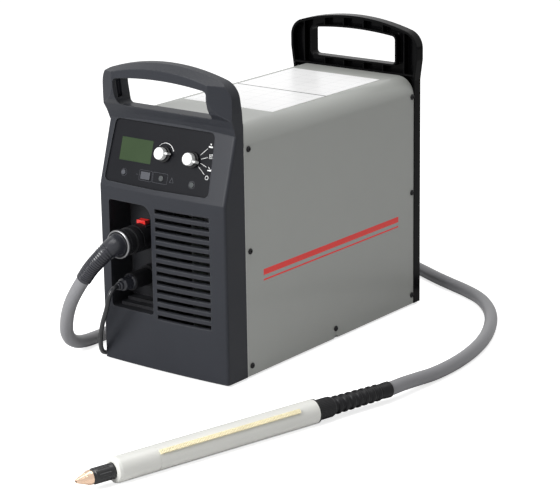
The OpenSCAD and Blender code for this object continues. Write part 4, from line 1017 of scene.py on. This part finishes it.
@dataclass
class Torch(SubAssembly):
    """The torch's strain relief, with its knurled nut and round ribs, in millimetres."""

    start: float = 384.0
    length: float = 138.0
    ribs: int = 7
    rib_pitch: float = 12.0
    flutes: int = 40

    def build(self) -> None:
        """Builds the strain relief as one turned surface."""
        axis = np.array(TORCH_AXIS)
        place = axis_place(np.array(TORCH_TIP) + axis * self.start, TORCH_AXIS, (0, 0, 1))
        corners = [
            (9.9, 0, 0), (17.4, 0, 0.3), (17.4, 3, 0.5), (14.8, 3, 0.2), (14.5, 5, 0.6), (14.5, 29, 0.8),
            (12.8, 33, 1.0), (11.0, 33.2, 0.4), (10.9, 37.8, 0.4),
        ]
        for i in range(self.ribs):
            low, r = 38 + self.rib_pitch * i, 13 - 0.17 * i
            corners += [
                (r - 1.3, low + 0.1, 0.5), (r, low + 1.4, 1.0), (r, low + 5.6, 1.0),
                (r - 1.3, low + 6.9, 0.5), (10.9, low + 7.1, 0.3), (10.8, low + 11.8, 0.3),
            ]
        end = self.length
        corners += [
            (11.4, end - 9, 0.3), (11.6, end - 1.2, 0.8), (10.6, end, 0.3), (10.05, end - 0.4, 0.2),
            (10.05, end - 20, 0),
        ]
        profile = rounded_profile(corners)
        knurled = (profile[:, 1] > 5.5) & (profile[:, 1] < 29)
        depth = np.where(knurled, 0.45, 0.0)
        grid = lathe_grid(profile, place, 6 * self.flutes, flutes=self.flutes, depth=depth)
        relief = Surface("torch_strain_relief_ribbed", grid, caps=False).piece()
        self.add(relief, "gland_plastic", replaced=["torch_strain_relief"])


# ---------- studio ----------


@dataclass
class CameraRig:
    """The camera, in the place and with the lens that show the object as wanted."""

    location: tuple[float, float, float] = (1.9417, -2.5110, 1.0513)
    yaw: float = 0.6468
    pitch: float = 0.281
    roll: float = -0.0136
    lens: float = 138.66
    shift: tuple[float, float] = (-0.01914, -0.01218)

    def build(self) -> None:
        """Makes the camera from its angles: yaw from +Y to the left, pitch down, roll about the view."""
        sy, cy, sp, cp = math.sin(self.yaw), math.cos(self.yaw), math.sin(self.pitch), math.cos(self.pitch)
        ahead = np.array([-sy * cp, cy * cp, -sp])
        right = np.array([cy, sy, 0.0])
        up = np.cross(right, ahead)
        r = right * math.cos(self.roll) + up * math.sin(self.roll)
        u = -right * math.sin(self.roll) + up * math.cos(self.roll)
        turn = np.eye(4)
        turn[:3, 0], turn[:3, 1], turn[:3, 2], turn[:3, 3] = r, u, -ahead, self.location
        data = bpy.data.cameras.new("camera")
        data.sensor_width, data.lens = 36.0, self.lens
        data.shift_x, data.shift_y = self.shift
        data.clip_start, data.clip_end = 0.05, 60.0
        rig = bpy.data.objects.new("camera", data)
        rig.matrix_world = Matrix(turn.tolist())
        bpy.context.scene.collection.objects.link(rig)
        bpy.context.scene.camera = rig


@dataclass(frozen=True)
class Lamp:
    """A soft light."""

    name: str
    at: tuple[float, float, float]
    aim: tuple[float, float, float]
    size: tuple[float, float]
    light: float

    def build(self) -> None:
        """Makes the light; its power follows from E / pi = P / (pi^2 d^2)."""
        away = np.array(self.at) - np.array(self.aim)
        data = bpy.data.lights.new(self.name, "AREA")
        data.shape, data.size, data.size_y = "RECTANGLE", *self.size
        data.energy = self.light * math.pi**2 * float(away @ away)
        made = bpy.data.objects.new(self.name, data)
        made.matrix_world = axis_place(np.array(self.at) / MM, away, (1, 0.1, 0))
        bpy.context.scene.collection.objects.link(made)


@dataclass
class Studio:
    """A pale floor under soft light, white all round.

    Attributes:
        lamps: the soft lights.
        ambient: the world's light on the object.
        mirrored: its brightness in glossy surfaces.
        floor_albedo: how pale the floor is.
        floor_glow: what is added to the floor where the camera sees it.
        floor_half: half the floor's side.
    """

    lamps: tuple[Lamp, ...] = (
        Lamp("key", (-0.55, -2.8, 1.65), (0.0, -0.1, 0.2), (1.6, 1.6), 1.05),
        Lamp("overhead", (0.2, 0.3, 3.0), (0.0, 0.0, 0.2), (2.4, 2.4), 0.6),
    )
    ambient: float = 0.2
    mirrored: float = 0.85
    floor_albedo: float = 0.8
    floor_glow: float = 0.75
    floor_half: float = 12.0

    def floor(self) -> None:
        """A wide floor that reads white and keeps the object's shadow."""
        h = self.floor_half
        mesh = bpy.data.meshes.new("floor")
        mesh.from_pydata([(-h, -h, 0), (h, -h, 0), (h, h, 0), (-h, h, 0)], [], [(0, 1, 2, 3)])
        plane = bpy.data.objects.new("floor", mesh)
        bpy.context.scene.collection.objects.link(plane)
        made = bpy.data.materials.new("floor")
        made.use_nodes = True
        g = Graph(made.node_tree)
        a = self.floor_albedo
        inputs = {"Base Color": (a, a, a, 1), "Roughness": 0.9, "Specular IOR Level": 0.0}
        shader = g.node("ShaderNodeBsdfPrincipled", inputs)
        seen = g.node("ShaderNodeLightPath").outputs["Is Camera Ray"]
        strength = g.math("MULTIPLY", seen, self.floor_glow)
        glow = g.node("ShaderNodeEmission", {"Color": (1, 1, 1, 1), "Strength": strength})
        both = g.node("ShaderNodeAddShader", {0: shader.outputs[0], 1: glow.outputs[0]})
        g.node("ShaderNodeOutputMaterial", {"Surface": both.outputs[0]})
        mesh.materials.append(made)

    def world(self) -> None:
        """White behind the object and in what it mirrors, a soft grey for the light that it gives."""
        world = bpy.data.worlds.new("studio")
        bpy.context.scene.world = world
        world.use_nodes = True
        g = Graph(world.node_tree)
        path = g.node("ShaderNodeLightPath").outputs
        seen = g.math("MAXIMUM", path["Is Camera Ray"], path["Is Transmission Ray"], clamp=True)
        level = g.spread(seen, 0, 1, self.ambient, 1.0)
        level = g.math("MAXIMUM", level, g.math("MULTIPLY", path["Is Glossy Ray"], self.mirrored))
        back = g.node("ShaderNodeBackground", {"Color": (1, 1, 1, 1), "Strength": level})
        g.node("ShaderNodeOutputWorld", {"Surface": back.outputs[0]})

    def build(self) -> None:
        """Makes the floor, the world and the lights, and sets the plain view transform."""
        bpy.context.scene.view_settings.view_transform = "Standard"
        self.floor()
        self.world()
        for lamp in self.lamps:
            lamp.build()


def dress_model(wardrobe: Wardrobe) -> None:
    """Gives every CAD node the finish of its material slot."""
    for node, piece in frame["nodes"].items():
        wardrobe.dress(piece, SLOT_OF[node])
        LOG.info("%s: %s", node, SLOT_OF[node])


def main() -> None:
    """Builds the scene."""
    logging.basicConfig(level=logging.INFO, format="%(message)s")
    CameraRig().build()
    Studio().build()
    wardrobe = Wardrobe(FINISHES)
    dress_model(wardrobe)
    for part in (TorchLead, WorkLead, WorkClamp, ControlPanel, Torch):
        part(wardrobe).build()


if __name__ == "__main__":
    main()
